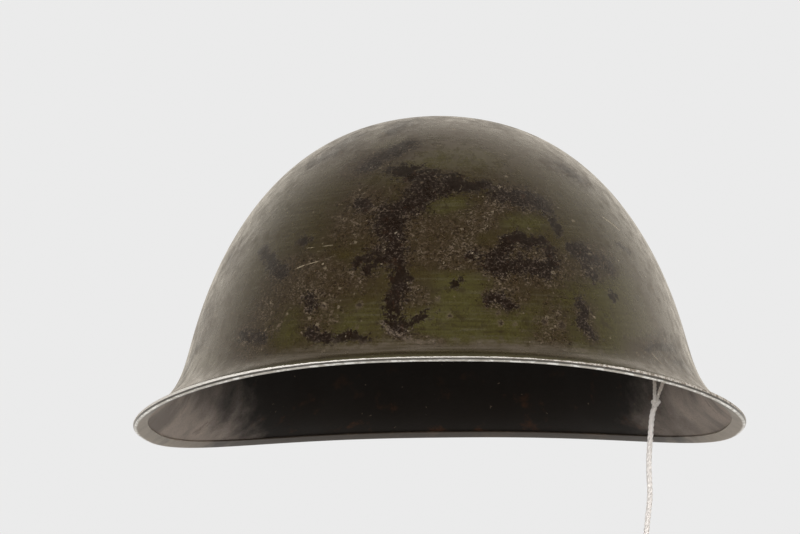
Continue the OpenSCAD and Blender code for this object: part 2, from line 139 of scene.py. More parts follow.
def merge_flats():
    bpy.ops.mesh.dissolve_limited(angle_limit=math.radians(1))


def smooth(piece, angle=35):
    pick(piece)
    bpy.ops.object.shade_smooth_by_angle(angle=math.radians(angle))


def modified(piece, kind, **settings):
    """Adds a modifier with these settings to a piece and applies it."""
    pick(piece)
    modifier = piece.modifiers.new(kind.title(), kind)
    for name, value in settings.items():
        setattr(modifier, name, value)
    bpy.ops.object.modifier_apply(modifier=modifier.name)


def shaped_grid(name, across, up, place, capped=False):
    """A grid primitive shaped by place(u, v), which gives a point in millimetres, and closed where
    its edges meet."""
    clear_selection()
    bpy.ops.mesh.primitive_grid_add(x_subdivisions=across, y_subdivisions=up, size=1)
    piece = bpy.context.object
    piece.name = name
    piece.data.name = name
    for point in piece.data.vertices:
        u = point.co.x + 0.5
        v = point.co.y + 0.5
        point.co = Vector(place(u, v)) * MM
    steps = [merge_points, close_holes] if capped else [merge_points]
    whole_mesh(piece, *steps, face_outwards)
    smooth(piece)
    return piece


def joined(name, pieces):
    clear_selection()
    for piece in pieces:
        piece.select_set(True)
    bpy.context.view_layer.objects.active = pieces[0]
    bpy.ops.object.join()
    whole = bpy.context.object
    whole.name = name
    whole.data.name = name
    return whole


def softened_copy(name, node, edge):
    """A copy of a CAD node's mesh with its triangles merged and its edges rounded this far."""
    piece = bpy.data.objects.new(name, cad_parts[node].data.copy())
    bpy.context.scene.collection.objects.link(piece)
    piece.data.name = name
    piece.data.materials.clear()
    whole_mesh(piece, merge_points, merge_flats)
    if edge:
        modified(piece, "BEVEL", width=edge * MM, segments=2, limit_method="ANGLE",
            angle_limit=math.radians(40))
    smooth(piece)
    return piece


def finish_piece(piece, body, slot, *materials, stands_for=()):
    """Gives a finished piece its materials and its body, and hides the CAD nodes it stands for. Its
    slot is not used.
    """
    for material in materials:
        piece.data.materials.append(material)
    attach(piece, body)
    if stands_for:
        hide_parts(*stands_for)
    return piece


# The string: its run and its knots, from the middle of the left loop's lower bar
loop_low, loop_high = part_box("loop_left")
bar_middle = Vector(((loop_low.x + loop_high.x) / 2, 0, loop_low.z + WIRE_R * MM)) / MM
loop_route = [(-1.2, -1, -14.6), (-1.3, -1, -12.6), (-1.25, -0.9, -10.2), (-1.15, -0.7, -7.6),
    (-1.4, -0.5, -4.8), (-2.3, -0.2, -2.3), (-2.7, 0, 0), (-2.2, 0, 1.6), (-1.1, 0, 2.5),
    (0.3, 0, 2.7), (1.6, 0, 2.2), (2.5, 0, 1.1), (2.9, 0, -0.6), (3, 0.2, -2.8), (2.8, 0.5, -5.2),
    (2.1, 0.8, -7.8), (1.1, 0.9, -10.2), (0.2, 1, -12.6), (-0.5, 1, -14.6)]
tail_route = [(-1.1, 0, -16.4), (-1.7, 0.1, -18.2), (-2.4, 0.2, -20.4), (-2.8, 0.2, -23),
    (-3.1, 0.1, -26), (-3.45, -0.1, -29.4), (-3.8, -0.2, -33), (-4.15, -0.1, -37), (-4.4, 0, -41),
    (-4.5, 0.1, -45), (-4.45, 0.2, -49), (-4.3, 0.1, -53.2), (-4.35, 0, -57.4), (-4.75, 0, -61.6),
    (-5.3, 0, -65.8), (-5.8, 0, -70), (-6.3, 0, -74.4), (-6.7, 0, -78.8), (-7, 0, -83.2),
    (-7.2, 0, -87), (-7.25, 0, -89)]
knot_at = (-0.8, 0, -15.5)
end_knot_at = (-7.3, 0, -89.5)


def on_bar(point):
    return bar_middle + Vector(point)


def smooth_run(points, steps):
    """A smooth run through the points, with this many steps between two of them."""
    run = []
    last = len(points) - 1
    for i in range(last):
        before = points[max(i - 1, 0)]
        start = points[i]
        end = points[i + 1]
        after = points[min(i + 2, last)]
        for k in range(steps):
            t = k / steps
            run.append(0.5 * (2 * start + (end - before) * t
                + (2 * before - 5 * start + 4 * end - after) * t ** 2
                + (3 * start - before - 3 * end + after) * t ** 3))
    return run + [points[last]]


def run_length(points):
    return sum((b - a).length for a, b in zip(points, points[1:]))


def frames_along(run):
    """Two directions square to the run at each of its points, turned as little as may be."""
    side = Vector((0, 1, 0))
    found = []
    for i, point in enumerate(run):
        ahead = (run[min(i + 1, len(run) - 1)] - run[max(i - 1, 0)]).normalized()
        side = (side - side.dot(ahead) * ahead).normalized()
        found.append((side, ahead.cross(side)))
    return found


def tube(name, run, radius, sides, shift=lambda i, a, b: Vector((0, 0, 0))):
    """A closed round tube along a run, each ring moved by shift within its plane."""
    frames = frames_along(run)
    last = len(run) - 1

    def place(u, v):
        i = round(v * last)
        a, b = frames[i]
        angle = math.tau * u
        return run[i] + shift(i, a, b) + radius * (math.cos(angle) * a + math.sin(angle) * b)

    return shaped_grid(name, sides, last, place, capped=True)


def twisted_string(name, run, thick):
    """A three-strand string: each strand winds round the run once a pitch."""
    pitch = 2.8 * thick
    strand_r = 0.31 * thick
    lay_r = thick / 2 - strand_r
    reach = [0]
    for a, b in zip(run, run[1:]):
        reach.append(reach[-1] + (b - a).length)
    strands = []
    for k in range(3):
        def shift(i, a, b, start=math.tau * k / 3):
            turn = start + math.tau * reach[i] / pitch
            return lay_r * (math.cos(turn) * a + math.sin(turn) * b)
        strands.append(tube(f"{name}_strand_{k}", run, strand_r, sides=7, shift=shift))
    return joined(name, strands)


def tied_knot(name, middle, reach, thick, stretch):
    """An overhand knot of string pulled tight about its middle."""
    steps = 66
    run = []
    for i in range(steps + 1):
        t = math.tau * i / steps
        loop = Vector((math.sin(t) + 2 * math.sin(2 * t), -math.sin(3 * t),
            math.cos(t) - 2 * math.cos(2 * t)))
        run.append(middle + Vector(a * b for a, b in zip(loop, stretch)) * (reach - thick) / 3)
    return tube(name, run, thick, sides=8)


loop_run = smooth_run([on_bar(p) for p in loop_route], 5)
tail_run = smooth_run([on_bar(p) for p in tail_route], 8)
string_loop = twisted_string("string_loop", loop_run, STRING_D)
string_tail = twisted_string("string_tail", tail_run, TAIL_D)
tie_knot = tied_knot("string_tie_knot", on_bar(knot_at), reach=2.4, thick=0.85,
    stretch=(0.95, 1.1, 0.75))
end_knot = tied_knot("string_end_knot", on_bar(end_knot_at), reach=2.9, thick=1.05,
    stretch=(0.95, 0.9, 1))


# The shell's shape, as the part's source gives it, with heights over the side rim

def signed_pow(value, power):
    return math.copysign(abs(value) ** power, value)


def mix(a, b, share):
    return a + (b - a) * share


def edge_h(t):
    return LIFT_SWING * math.cos(t) + LIFT_WAVE * (math.cos(2 * t) + 1)


def dome_share(h):
    rise = (h + DOME_DROP) / (CROWN_H + DOME_DROP)
    return max(0, 1 - rise ** DOME_POWER) ** (1 / DOME_POWER)


def outline_power(h):
    return mix(RIM_POWER, CROWN_POWER, max(0, min(1, h / CROWN_H)))


SIDE_DOME = (SHELL_W / 2 - SIDE_FLARE) / dome_share(0)
FRONT_DOME = (SHELL_FRONT - FRONT_FLARE) / dome_share(FRONT_RISE)
REAR_DOME = (SHELL_REAR - REAR_FLARE) / dome_share(REAR_RISE)


def flare_height(t):
    ahead = FRONT_FLARE_H if math.cos(t) > 0 else REAR_FLARE_H
    return SIDE_FLARE_H * math.sin(t) ** 2 + ahead * math.cos(t) ** 2


def flare_left(t, h):
    return max(0, 1 - (h - edge_h(t)) / flare_height(t)) ** FLARE_POWER


def flare_reach(full, dome, t):
    return full - dome * dome_share(edge_h(t))


def outer(t, h):
    """A point of the shell's outer face, t radians round from the front at height h."""
    full_y = SHELL_FRONT if math.cos(t) > 0 else SHELL_REAR
    dome_y = FRONT_DOME if math.cos(t) > 0 else REAR_DOME
    left = flare_left(t, h)
    power = 2 / outline_power(h)
    a = SIDE_DOME * dome_share(h) + flare_reach(SHELL_W / 2, SIDE_DOME, t) * left
    b = dome_y * dome_share(h) + flare_reach(full_y, dome_y, t) * left
    return Vector((a * signed_pow(math.sin(t), power), -b * signed_pow(math.cos(t), power),
        h - BAND_H))


def face_out(t, h):
    """The outward normal at that point."""
    round_it = outer(t + 0.004, h) - outer(t - 0.004, h)
    up_it = outer(t, h + 0.05) - outer(t, h - 0.05)
    return round_it.cross(up_it).normalized()


def under(t, h, depth):
    """A point this deep under the outer face, or over it where depth is negative."""
    return outer(t, h) - depth * face_out(t, h)


def dome_angle(h):
    return math.asin(((h + DOME_DROP) / (CROWN_H + DOME_DROP)) ** (DOME_POWER / 2))


def angle_height(angle):
    return (CROWN_H + DOME_DROP) * math.sin(angle) ** (2 / DOME_POWER) - DOME_DROP


# The share of the shell's rows that its flare gets, and how they crowd toward the edge
FLARE_ROWS = 0.3
FLARE_CROWDING = 1.4


def level(t, v):
    """The height at share v of the way from the bare edge to the crown."""
    foot = edge_h(t)
    rise = flare_height(t)
    if v <= FLARE_ROWS:
        return foot + rise * (v / FLARE_ROWS) ** FLARE_CROWDING
    start = dome_angle(foot + rise)
    return angle_height(mix(start, math.pi / 2, (v - FLARE_ROWS) / (1 - FLARE_ROWS)))


# Soft dents of the sheet: turn in degrees, height, half width and depth
DENTS = [(-62, 78, 16, 0.5), (38, 96, 20, 0.4), (118, 70, 18, 0.6), (-128, 96, 22, 0.5),
    (171, 60, 15, 0.5), (-20, 108, 14, 0.3), (76, 40, 12, 0.4), (-160, 36, 12, 0.4)]
dent_places = [(outer(math.radians(t), h), half, depth) for t, h, half, depth in DENTS]


SHELL_STEPS_ROUND = 312
SHELL_STEPS_UP = 118


def shell_place(u, v):
    """A point of the dented outer face. The last row stays a hair under the crown's own height."""
    t = math.tau * u
    h = min(level(t, v), CROWN_H - 1e-6)
    point = outer(t, h)
    inwards = Vector((point.x, point.y, point.z + BAND_H)).normalized()
    for place, half, depth in dent_places:
        away = (point - place).length / half
        point = point - inwards * depth * math.exp(-away * away)
    return point


shell = shaped_grid("painted_shell", SHELL_STEPS_ROUND, SHELL_STEPS_UP, shell_place)


# Marks of wear that the photograph shows on the front: the points that a mark's middle runs
# through, and its half sizes across and up. First the dark patches where the paint is gone
WORN = [
    ([(8, -98, 50), (-1, -99, 49), (-7, -104, 43), (-15, -106, 38), (-18, -108, 34)], 7, 6),
    ([(-18, -108, 34), (-17, -113, 25), (-16, -117, 17)], 4.5, 5),
    ([(-16, -117, 17), (-14, -121, 9), (-14, -123, 3), (-16, -125, -4), (-16, -127, -10),
        (-13, -128, -14)], 3.9, 4),
    ([(28, -98, 45), (35, -96, 44), (42, -93, 44), (46, -93, 42)], 5, 4.4),
    ([(50, -96, 35), (52, -98, 30)], 2.4, 3),
    ([(13, -99, 48), (22, -96, 50)], 3, 3),
    ([(23, -117, 14), (28, -114, 19), (31, -111, 24), (36, -108, 27), (38, -109, 23)], 3, 3),
    ([(38, -109, 23), (44, -105, 25), (47, -106, 21), (49, -109, 14)], 3, 3),
    ([(26, -118, 13), (34, -115, 13), (44, -112, 12)], 5, 4.4),
    ([(22, -124, -2), (27, -123, -1), (31, -123, -5)], 2.7, 2.3),
    ([(57, -100, 22), (62, -98, 19), (66, -100, 11)], 2.8, 3),
    ([(61, -96, 23), (63, -97, 19), (70, -92, 17), (74, -90, 15)], 3.2, 3.2),
    ([(59, -111, -2), (62, -111, -5), (60, -114, -11), (65, -113, -16)], 2, 2.2),
    ([(74, -98, 2)], 3, 2.6),
    ([(17, -117, 17)], 3, 2.6),
    ([(8, -123, 4), (11, -122, 6)], 1.8, 1.6),
    ([(-9, -128, -12), (-5.5, -127, -9), (-2, -127, -8)], 2, 1.7),
    ([(-31, -115, 15), (-28, -116, 16), (-27, -118, 11)], 2.8, 2.8),
    ([(-28, -113, 20), (-22, -115, 20)], 2, 1.4),
    ([(-22, -117, 16)], 3, 3),
    ([(-51, -114, 0), (-50, -116, -3)], 2.6, 2.8),
    ([(-50, -120, -14), (-46, -122, -17), (-40, -124, -18), (-34, -126, -16), (-29, -128, -18)],
        3, 2.2),
    ([(-30, -99, 42), (-28, -102, 40)], 3.4, 3),
    ([(-54, -98, 27)], 3.4, 2.6),
    ([(-73, -83, 26), (-68, -92, 19), (-63, -101, 12)], 3, 2.4),
    ([(-79, -100, -13), (-72, -108, -15)], 3.2, 2.6),
]
# Ground where the paint has flaked into small chips
CHIPPED = [
    ([(-7, -112, 29), (6, -111, 30), (20, -107, 36)], 9, 6),
    ([(-3, -117, 19), (13, -118, 16)], 12, 6),
    ([(-6, -124, 0)], 8, 5),
    ([(34, -116, 12), (50, -111, 9)], 13, 10),
    ([(48, -119, -9), (48, -122, -18)], 9, 5),
    ([(62, -111, -6), (64, -113, -16)], 6, 7),
    ([(68, -97, 16)], 13, 9),
    ([(-58, -107, 9)], 13, 11),
    ([(-48, -109, 11), (-37, -115, 4)], 11, 8),
    ([(-45, -120, -8)], 14, 10),
    ([(-68, -107, -6), (-75, -105, -16)], 12, 9),
    ([(-33, -106, 32), (-30, -99, 42)], 12, 9),
    ([(30, -122, -1)], 9, 7),
    ([(-14, -128, -16), (-2, -130, -20)], 6, 3),
    ([(-1, -99, 49), (-17, -113, 25)], 8, 7),
    ([(35, -97, 44)], 15, 10),
]
# Ground where the smooth, greenest paint is whole
WHOLE = [
    ([(3, -128, -14), (22, -127, -12), (40, -123, -12)], 15, 8),
    ([(12, -124, 0)], 13, 8),
    ([(-1, -106, 41), (9, -107, 39)], 7, 4.5),
    ([(56, -111, 3)], 8, 7),
    ([(-61, -113, -11)], 9, 7),
    ([(-36, -124, -11)], 17, 8),
    ([(64, -114, -18), (76, -94, 5)], 12, 12),
    ([(38, -103, 33)], 9, 4),
]


# A round form close to the dome: its middle and its half sizes
ROUND_MIDDLE = (0, 0, -90.5)
ROUND_HALF = (119, 138, 186)
# How far straight off a mark its depth falls as it does over one half size
MARK_DEPTH = 40
# The marks above cover the front this far round, in degrees, and up to this height
MARKED_TURN = 50
MARKED_H = 102
SCATTERED_MARKS = 64


def across_and_up(place):
    """Unit directions along the shell at a place: level, and up the slope."""
    out = Vector((p - m) / half ** 2 for p, m, half in zip(place, ROUND_MIDDLE, ROUND_HALF))
    level_way = Vector((0, 0, 1)).cross(out).normalized()
    return level_way, out.cross(level_way).normalized()


def field(points, marks):
    """How deep each point lies in the marks: 1 in a mark's middle, 0.5 at its edge, 0 far off."""
    depth = np.zeros(len(points))
    for run, half_across, half_up in marks:
        ways = across_and_up(run[len(run) // 2])
        scale = np.array([[*ways[0]], [*ways[1]]]) / np.array([[half_across], [half_up]])
        stops = [np.array(p) for p in run]
        if len(stops) == 1:
            stops = stops * 2
        nearest = np.full(len(points), 1e9)
        for a, b in zip(stops, stops[1:]):
            step = b - a
            share = np.clip((points - a) @ step / max(step @ step, 1e-9), 0, 1)
            offset = points - a - share[:, None] * step
            flat = offset @ scale.T
            deep = np.linalg.norm(offset, axis=1) / MARK_DEPTH
            nearest = np.minimum(nearest, np.hypot(np.linalg.norm(flat, axis=1), deep))
        depth = np.maximum(depth, np.clip(1 - nearest / 2, 0, 1))
    return depth


def scattered_wear():
    """Worn, chipped and whole ground over the sides, top and back, seen edge on or not at all."""
    worn = []
    chipped = []
    whole = []
    while len(worn) < SCATTERED_MARKS:
        turn = random.uniform(-180, 180)
        share = random.uniform(0.1, 0.97)
        h = level(math.radians(turn), share)
        if abs(turn) < MARKED_TURN and h < MARKED_H:
            continue
        # The way round is short near the crown, so fewer marks fall there
        if random.random() > dome_share(max(h, 0)) + 0.1:
            continue
        half = 1.6 + 4 * random.random() ** 1.6
        run = []
        heading = random.uniform(0, math.tau)
        for k in range(random.choice([1, 2, 3, 4, 5])):
            run.append(tuple(outer(math.radians(turn), min(h, CROWN_H - 1))))
            heading += random.uniform(-0.9, 0.9)
            turn += 4.5 * math.cos(heading)
            h = max(edge_h(math.radians(turn)) + 4, h - 7 * abs(math.sin(heading)))
        worn.append((run, half * 1.1, half))
        if random.random() < 0.75:
            chipped.append((run, half + random.uniform(4, 10), half + random.uniform(3, 8)))
        if random.random() < 0.4:
            spot = outer(math.radians(turn + random.uniform(-25, 25)), min(h + 12, CROWN_H - 1))
            whole.append(([tuple(spot)], random.uniform(9, 18), random.uniform(6, 11)))
    return worn, chipped, whole


def paint_field(piece, name, values):
    layer = piece.data.attributes.new(name, "FLOAT", "POINT")
    layer.data.foreach_set("value", np.asarray(values, np.float32))


more_worn, more_chipped, more_whole = scattered_wear()
shell_points = np.array([p.co for p in shell.data.vertices]) / MM
paint_field(shell, "worn", field(shell_points, WORN + more_worn))
paint_field(shell, "chipped", field(shell_points, CHIPPED + more_chipped))
paint_field(shell, "whole", field(shell_points, WHOLE + more_whole))


def turn_at(point):
    """How far round from the front a point near the rim lies, in radians."""
    full_y = SHELL_FRONT if point[1] < 0 else SHELL_REAR
    return math.atan2(signed_pow(point[0] / SHELL_W * 2, RIM_POWER / 2),
        signed_pow(-point[1] / full_y, RIM_POWER / 2))


# Each point's height over the edge below it
paint_field(shell, "foot", [p[2] + BAND_H - edge_h(turn_at(p)) for p in shell_points])


# The folded steel strip round the edge: its fold stands a little off the sheet's edge, its upper
# leg wanders and is nicked, and both legs thin at their ends
FOLD_CLEAR = 0.2
WANDER_SHARE = 0.07
NICK_SHARE = 0.05
THIN_T = STRIP_T * 0.75


def leg_height(t, run):
    """The sheet's height at turn t where it has run this far in from its edge."""
    ahead = FRONT_FLARE if math.cos(t) > 0 else REAR_FLARE
    reach = flare_reach(SHELL_W / 2, SIDE_DOME, t) * math.sin(t) ** 2 + ahead * math.cos(t) ** 2
    return edge_h(t) + flare_height(t) * (1 - (1 - run / reach) ** (1 / FLARE_POWER))


def rim_section(t):
    """The strip's closed section at turn t: over the sheet, round its edge and back under it."""
    foot = edge_h(t)
    up = face_out(t, foot)
    along = (outer(t, foot) - outer(t, foot + 0.2)).normalized()
    centre = outer(t, foot) - SHEET_T / 2 * up + FOLD_CLEAR * along
    fold_in = SHEET_T / 2 + TOUCH
    fold_out = fold_in + STRIP_T
    wander = noise.noise(Vector((9 * math.sin(t), 9 * math.cos(t), 0)))
    nick = noise.noise(Vector((40 * math.sin(t), 40 * math.cos(t), 5)))
    top = TOP_LEG * (1 + WANDER_SHARE * wander + NICK_SHARE * nick)
    inner_face = SHEET_T + TOUCH

    def leg(length, shares, depth):
        return [under(t, leg_height(t, length * k), depth) for k in shares]

    def fold(radius, start, steps):
        """Half a round from start, which is 90 degrees over or under the sheet's middle."""
        angles = [math.radians(start * (1 - 2 * k / steps)) for k in range(steps + 1)]
        return [centre + radius * (math.sin(a) * up + math.cos(a) * along) for a in angles]

    return [*leg(top, [1], -TOUCH - THIN_T), *leg(top, [0.93, 0.66, 0.33], -TOUCH - STRIP_T),
        *fold(fold_out, 90, 8), *leg(UNDER_LEG, [0.33, 0.66, 0.95], inner_face + STRIP_T),
        *leg(UNDER_LEG, [1], inner_face + THIN_T), *leg(UNDER_LEG, [1, 0.66, 0.33], inner_face),
        *fold(fold_in, -90, 6), *leg(top, [0.33, 0.66, 1], -TOUCH)]


RIM_STEPS = 360
rim_rings = [rim_section(math.tau * i / RIM_STEPS) for i in range(RIM_STEPS)]
rim_points = len(rim_rings[0])


def rim_place(u, v):
    return rim_rings[round(u * RIM_STEPS) % RIM_STEPS][round(v * rim_points) % rim_points]


rim = shaped_grid("folded_rim_band", RIM_STEPS, rim_points, rim_place)


# The fibre headband and the leather sweatband inside it, two ovals
band_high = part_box("headband")[1]
BAND_A = band_high.x / MM
BAND_B = band_high.y / MM
SWEAT_GAP = 0.7
SWEAT_FOOT = 0.5
SWEAT_H = HEADBAND_H - 1
SWEAT_A = BAND_A - HEADBAND_T - SWEAT_GAP
SWEAT_B = BAND_B - HEADBAND_T - SWEAT_GAP
LEATHER_STEPS = 36
WAVE_DEPTH = 0.22
ROLL_DEPTH = 0.35
ROLL_H = 2.2
SOFT_EDGE_H = 0.8
STITCH_H = 4.2
STITCH_PITCH = 3.6
STITCH_DEPTH = 0.35
STITCH_STEPS = 8
THREAD_R = 0.3


def oval_length(a, b):
    ends = [Vector((a * math.sin(math.tau * i / 240), b * math.cos(math.tau * i / 240), 0))
        for i in range(241)]
    return run_length(ends)


def band_place(a, b, low, section):
    """A place function for an oval band: section(v, t) gives its outward shift and its height."""
    def place(u, v):
        t = math.tau * u
        out = Vector((math.sin(t) / a, -math.cos(t) / b, 0)).normalized()
        shift, height = section(v, t)
        return Vector((a * math.sin(t), -b * math.cos(t), low + height)) + shift * out
    return place


def rounded_strip(width, height, corner, count):
    """Points round an upright strip's section, from its outer face's foot and up."""
    points = []
    for x0, y0, start in ((-corner, corner, -90), (-corner, height - corner, 0),
            (-width + corner, height - corner, 90), (-width + corner, corner, 180)):
        for k in range(count):
            a = math.radians(start + 90 * k / (count - 1))
            points.append((x0 + corner * math.cos(a), y0 + corner * math.sin(a)))
    return points


board_section = rounded_strip(HEADBAND_T, HEADBAND_H, corner=0.6, count=4)


def board_shape(v, t):
    return board_section[round(v * len(board_section)) % len(board_section)]


board = shaped_grid("fibre_headband", 192, len(board_section),
    band_place(BAND_A, BAND_B, 0, board_shape))


def leather_shape(v, t):
    """The sweatband's section: two thin faces with a rolled lower edge, waved a little."""
    i = round(v * LEATHER_STEPS) % LEATHER_STEPS
    half = LEATHER_STEPS // 2
    up = i / (half - 1) if i < half else (LEATHER_STEPS - 1 - i) / (half - 1)
    wave = WAVE_DEPTH * noise.noise(Vector((6 * math.sin(t), 6 * math.cos(t), 2 * up)))
    swell = ROLL_DEPTH * math.exp(-(up * SWEAT_H / ROLL_H) ** 2)
    from_edge = min(up, 1 - up) * SWEAT_H
    round_off = 0.42 * SWEAT_T * (1 - min(1, from_edge / SOFT_EDGE_H)) ** 2
    if i < half:
        return (wave + 0.3 * swell - round_off, up * SWEAT_H)
    return (-SWEAT_T + wave - swell + round_off, up * SWEAT_H)


leather = shaped_grid("leather_sweatband", 240, LEATHER_STEPS,
    band_place(SWEAT_A, SWEAT_B, SWEAT_FOOT, leather_shape))
leather_length = oval_length(SWEAT_A - SWEAT_T / 2, SWEAT_B - SWEAT_T / 2)


def stitch_run():
    """The running stitch round the sweatband's inner face, from the back and in and out of it."""
    on_face = band_place(SWEAT_A, SWEAT_B, SWEAT_FOOT, lambda v, t: (-SWEAT_T, STITCH_H))
    count = round(leather_length / STITCH_PITCH) * STITCH_STEPS
    run = []
    for i in range(count + 1):
        turn = i / count + 0.5
        t = math.tau * turn
        inwards = -Vector((math.sin(t) / SWEAT_A, -math.cos(t) / SWEAT_B, 0)).normalized()
        rise = math.cos(math.tau * i / STITCH_STEPS) - 0.35
        run.append(on_face(turn, 0) + inwards * STITCH_DEPTH * rise)
    return run


leather_thread = tube("sweatband_stitching", stitch_run(), THREAD_R, sides=5)

# The two webbing straps over the crown
long_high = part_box("crown_strap_long")[1]
cross_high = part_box("crown_strap_cross")[1]
FLAT_HALF = 16
LEG_TOP = HEADBAND_H + 1
LEG_FOOT = 5
LEG_STEPS = 6
BEND_STEPS = 24
FLAT_STEPS = 4
# The legs' bow round the headband fades out over this much height
BOW_TOP = LEG_TOP + 22
BOW_FADE = 26


def strap_line(reach, height):
    """Half of a strap's middle line, from the foot of its leg to the crown, with the way out."""
    middle = height - STRAP_T / 2
    start = math.asin(LEG_TOP / middle)
    radius = (reach - STRAP_T / 2 - FLAT_HALF) / math.cos(start)
    leg_step = (LEG_TOP - LEG_FOOT) / LEG_STEPS
    line = [(Vector((reach - STRAP_T / 2, LEG_FOOT + k * leg_step)), Vector((1, 0)))
        for k in range(LEG_STEPS)]
    for k in range(BEND_STEPS + 1):
        a = mix(start, math.pi / 2, k / BEND_STEPS)
        point = Vector((FLAT_HALF + radius * math.cos(a), middle * math.sin(a)))
        line.append((point, Vector((math.cos(a), math.sin(a)))))
    for k in range(1, FLAT_STEPS + 1):
        line.append((Vector((FLAT_HALF * (1 - k / FLAT_STEPS), middle)), Vector((0, 1))))
    return line


def webbing_section(count=28):
    """Points round a strap's section: across it, and out of its face, with thicker edges."""
    points = []
    for i in range(count):
        a = math.tau * (i + 0.5) / count
        across = STRAP_W / 2 * signed_pow(math.cos(a), 0.3)
        points.append((across, STRAP_T / 2 * signed_pow(math.sin(a), 0.55)))
    return points


def webbing_strap(name, reach, height, bow, turned):
    """A strap over the crown whose legs bow round the headband. Turned, it runs from side to side."""
    half = strap_line(reach, height)
    other = [(Vector((-p.x, p.y)), Vector((-n.x, n.y))) for p, n in reversed(half[:-1])]
    line = half + other
    section = webbing_section()
    last = len(line) - 1

    def place(u, v):
        point, out = line[round(u * last)]
        across, off = section[round(v * len(section)) % len(section)]
        leg = max(0, min(1, (BOW_TOP - point.y) / BOW_FADE))
        run = point.x + off * out.x - math.copysign(bow * leg * (across / STRAP_W * 2) ** 2, point.x)
        up = point.y + off * out.y
        return Vector((run, across, up)) if turned else Vector((across, run, up))

    return shaped_grid(name, last, len(section), place, capped=True)


long_strap = webbing_strap("webbing_strap_long", long_high.y / MM, long_high.z / MM,
    bow=0.75, turned=False)
cross_strap = webbing_strap("webbing_strap_cross", cross_high.x / MM, cross_high.z / MM,
    bow=0.4, turned=True)
# The run that both straps' weave is scaled on, with a reach and a height near the long strap's
WEAVE_LENGTH = 2 * run_length([point for point, out in strap_line(reach=103, height=81)])

# The felt crown pad: a sewn ring, crowned between its seams
pad_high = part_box("crown_pad")[1]
PAD_IN = 13
PAD_OUT = pad_high.x / MM
PAD_T = 8
PAD_TOP = pad_high.z / MM
PAD_CHANNELS = 12
PAD_FALL = 3.4
SEAM_SHARE = 0.16
SEAM_HALF = 1.1
CHANNEL_HALF = 1.3


def pad_place(u, v):
    t = math.tau * u
    a = math.tau * v
    across = (1 - math.cos(a)) / 2
    radius = mix(PAD_IN, PAD_OUT, across)
    fall = PAD_FALL * max(0, (radius - FLAT_HALF) / (PAD_OUT - FLAT_HALF)) ** 1.5
    plump = (1 - abs(math.cos(a)) ** 6) ** 0.5
    from_seam = (min(across, 1 - across) - SEAM_SHARE) * (PAD_OUT - PAD_IN)
    from_channel = abs((u * PAD_CHANNELS + 0.5) % 1 - 0.5) / PAD_CHANNELS * math.tau * radius
    seam_pull = 0.3 * math.exp(-(from_seam / SEAM_HALF) ** 2)
    channel_pull = 0.26 * math.exp(-(from_channel / CHANNEL_HALF) ** 2)
    pull = 1 - seam_pull - channel_pull
    soft = 0.25 * noise.noise(Vector((radius * math.cos(t) / 7, radius * math.sin(t) / 7, v * 3)))
    middle = PAD_TOP - PAD_T / 2 - fall
    side = 1 if math.sin(a) > 0 else -1
    height = middle + side * (PAD_T / 2 * plump * pull + (soft if side < 0 else -abs(soft)))
    return Vector((radius * math.sin(t), -radius * math.cos(t), height))


pad = shaped_grid("felt_crown_pad", 144, 56, pad_place)

# Steel, brass and rubber pieces keep the CAD's shape, with merged faces and rounded edges
METAL_EDGES = {"crown_stud": 0.3, "lug_left": 0.25, "lug_right": 0.25, "lug_rivet_left": 0.2,
    "lug_rivet_right": 0.2, "loop_left": 0, "loop_right": 0, "strap_rivets": 0.12,
    "buffer_rivets": 0.12, "crown_plate": 0.3, "clamp_washer": 0.25, "crown_screw": 0.2}
BUFFER_EDGE = 0.5
BUFFERS = [f"buffer_{place}_{side}" for side in ("left", "right")
    for place in ("front", "temple", "back", "nape")]
dressed = {}
for node, edge in METAL_EDGES.items():
    dressed[node] = softened_copy(f"dressed_{node}", node, edge)
for node in BUFFERS:
    dressed[node] = softened_copy(f"rubber_{node}", node, BUFFER_EDGE)


# Materials. Every pattern reads its place in millimetres.

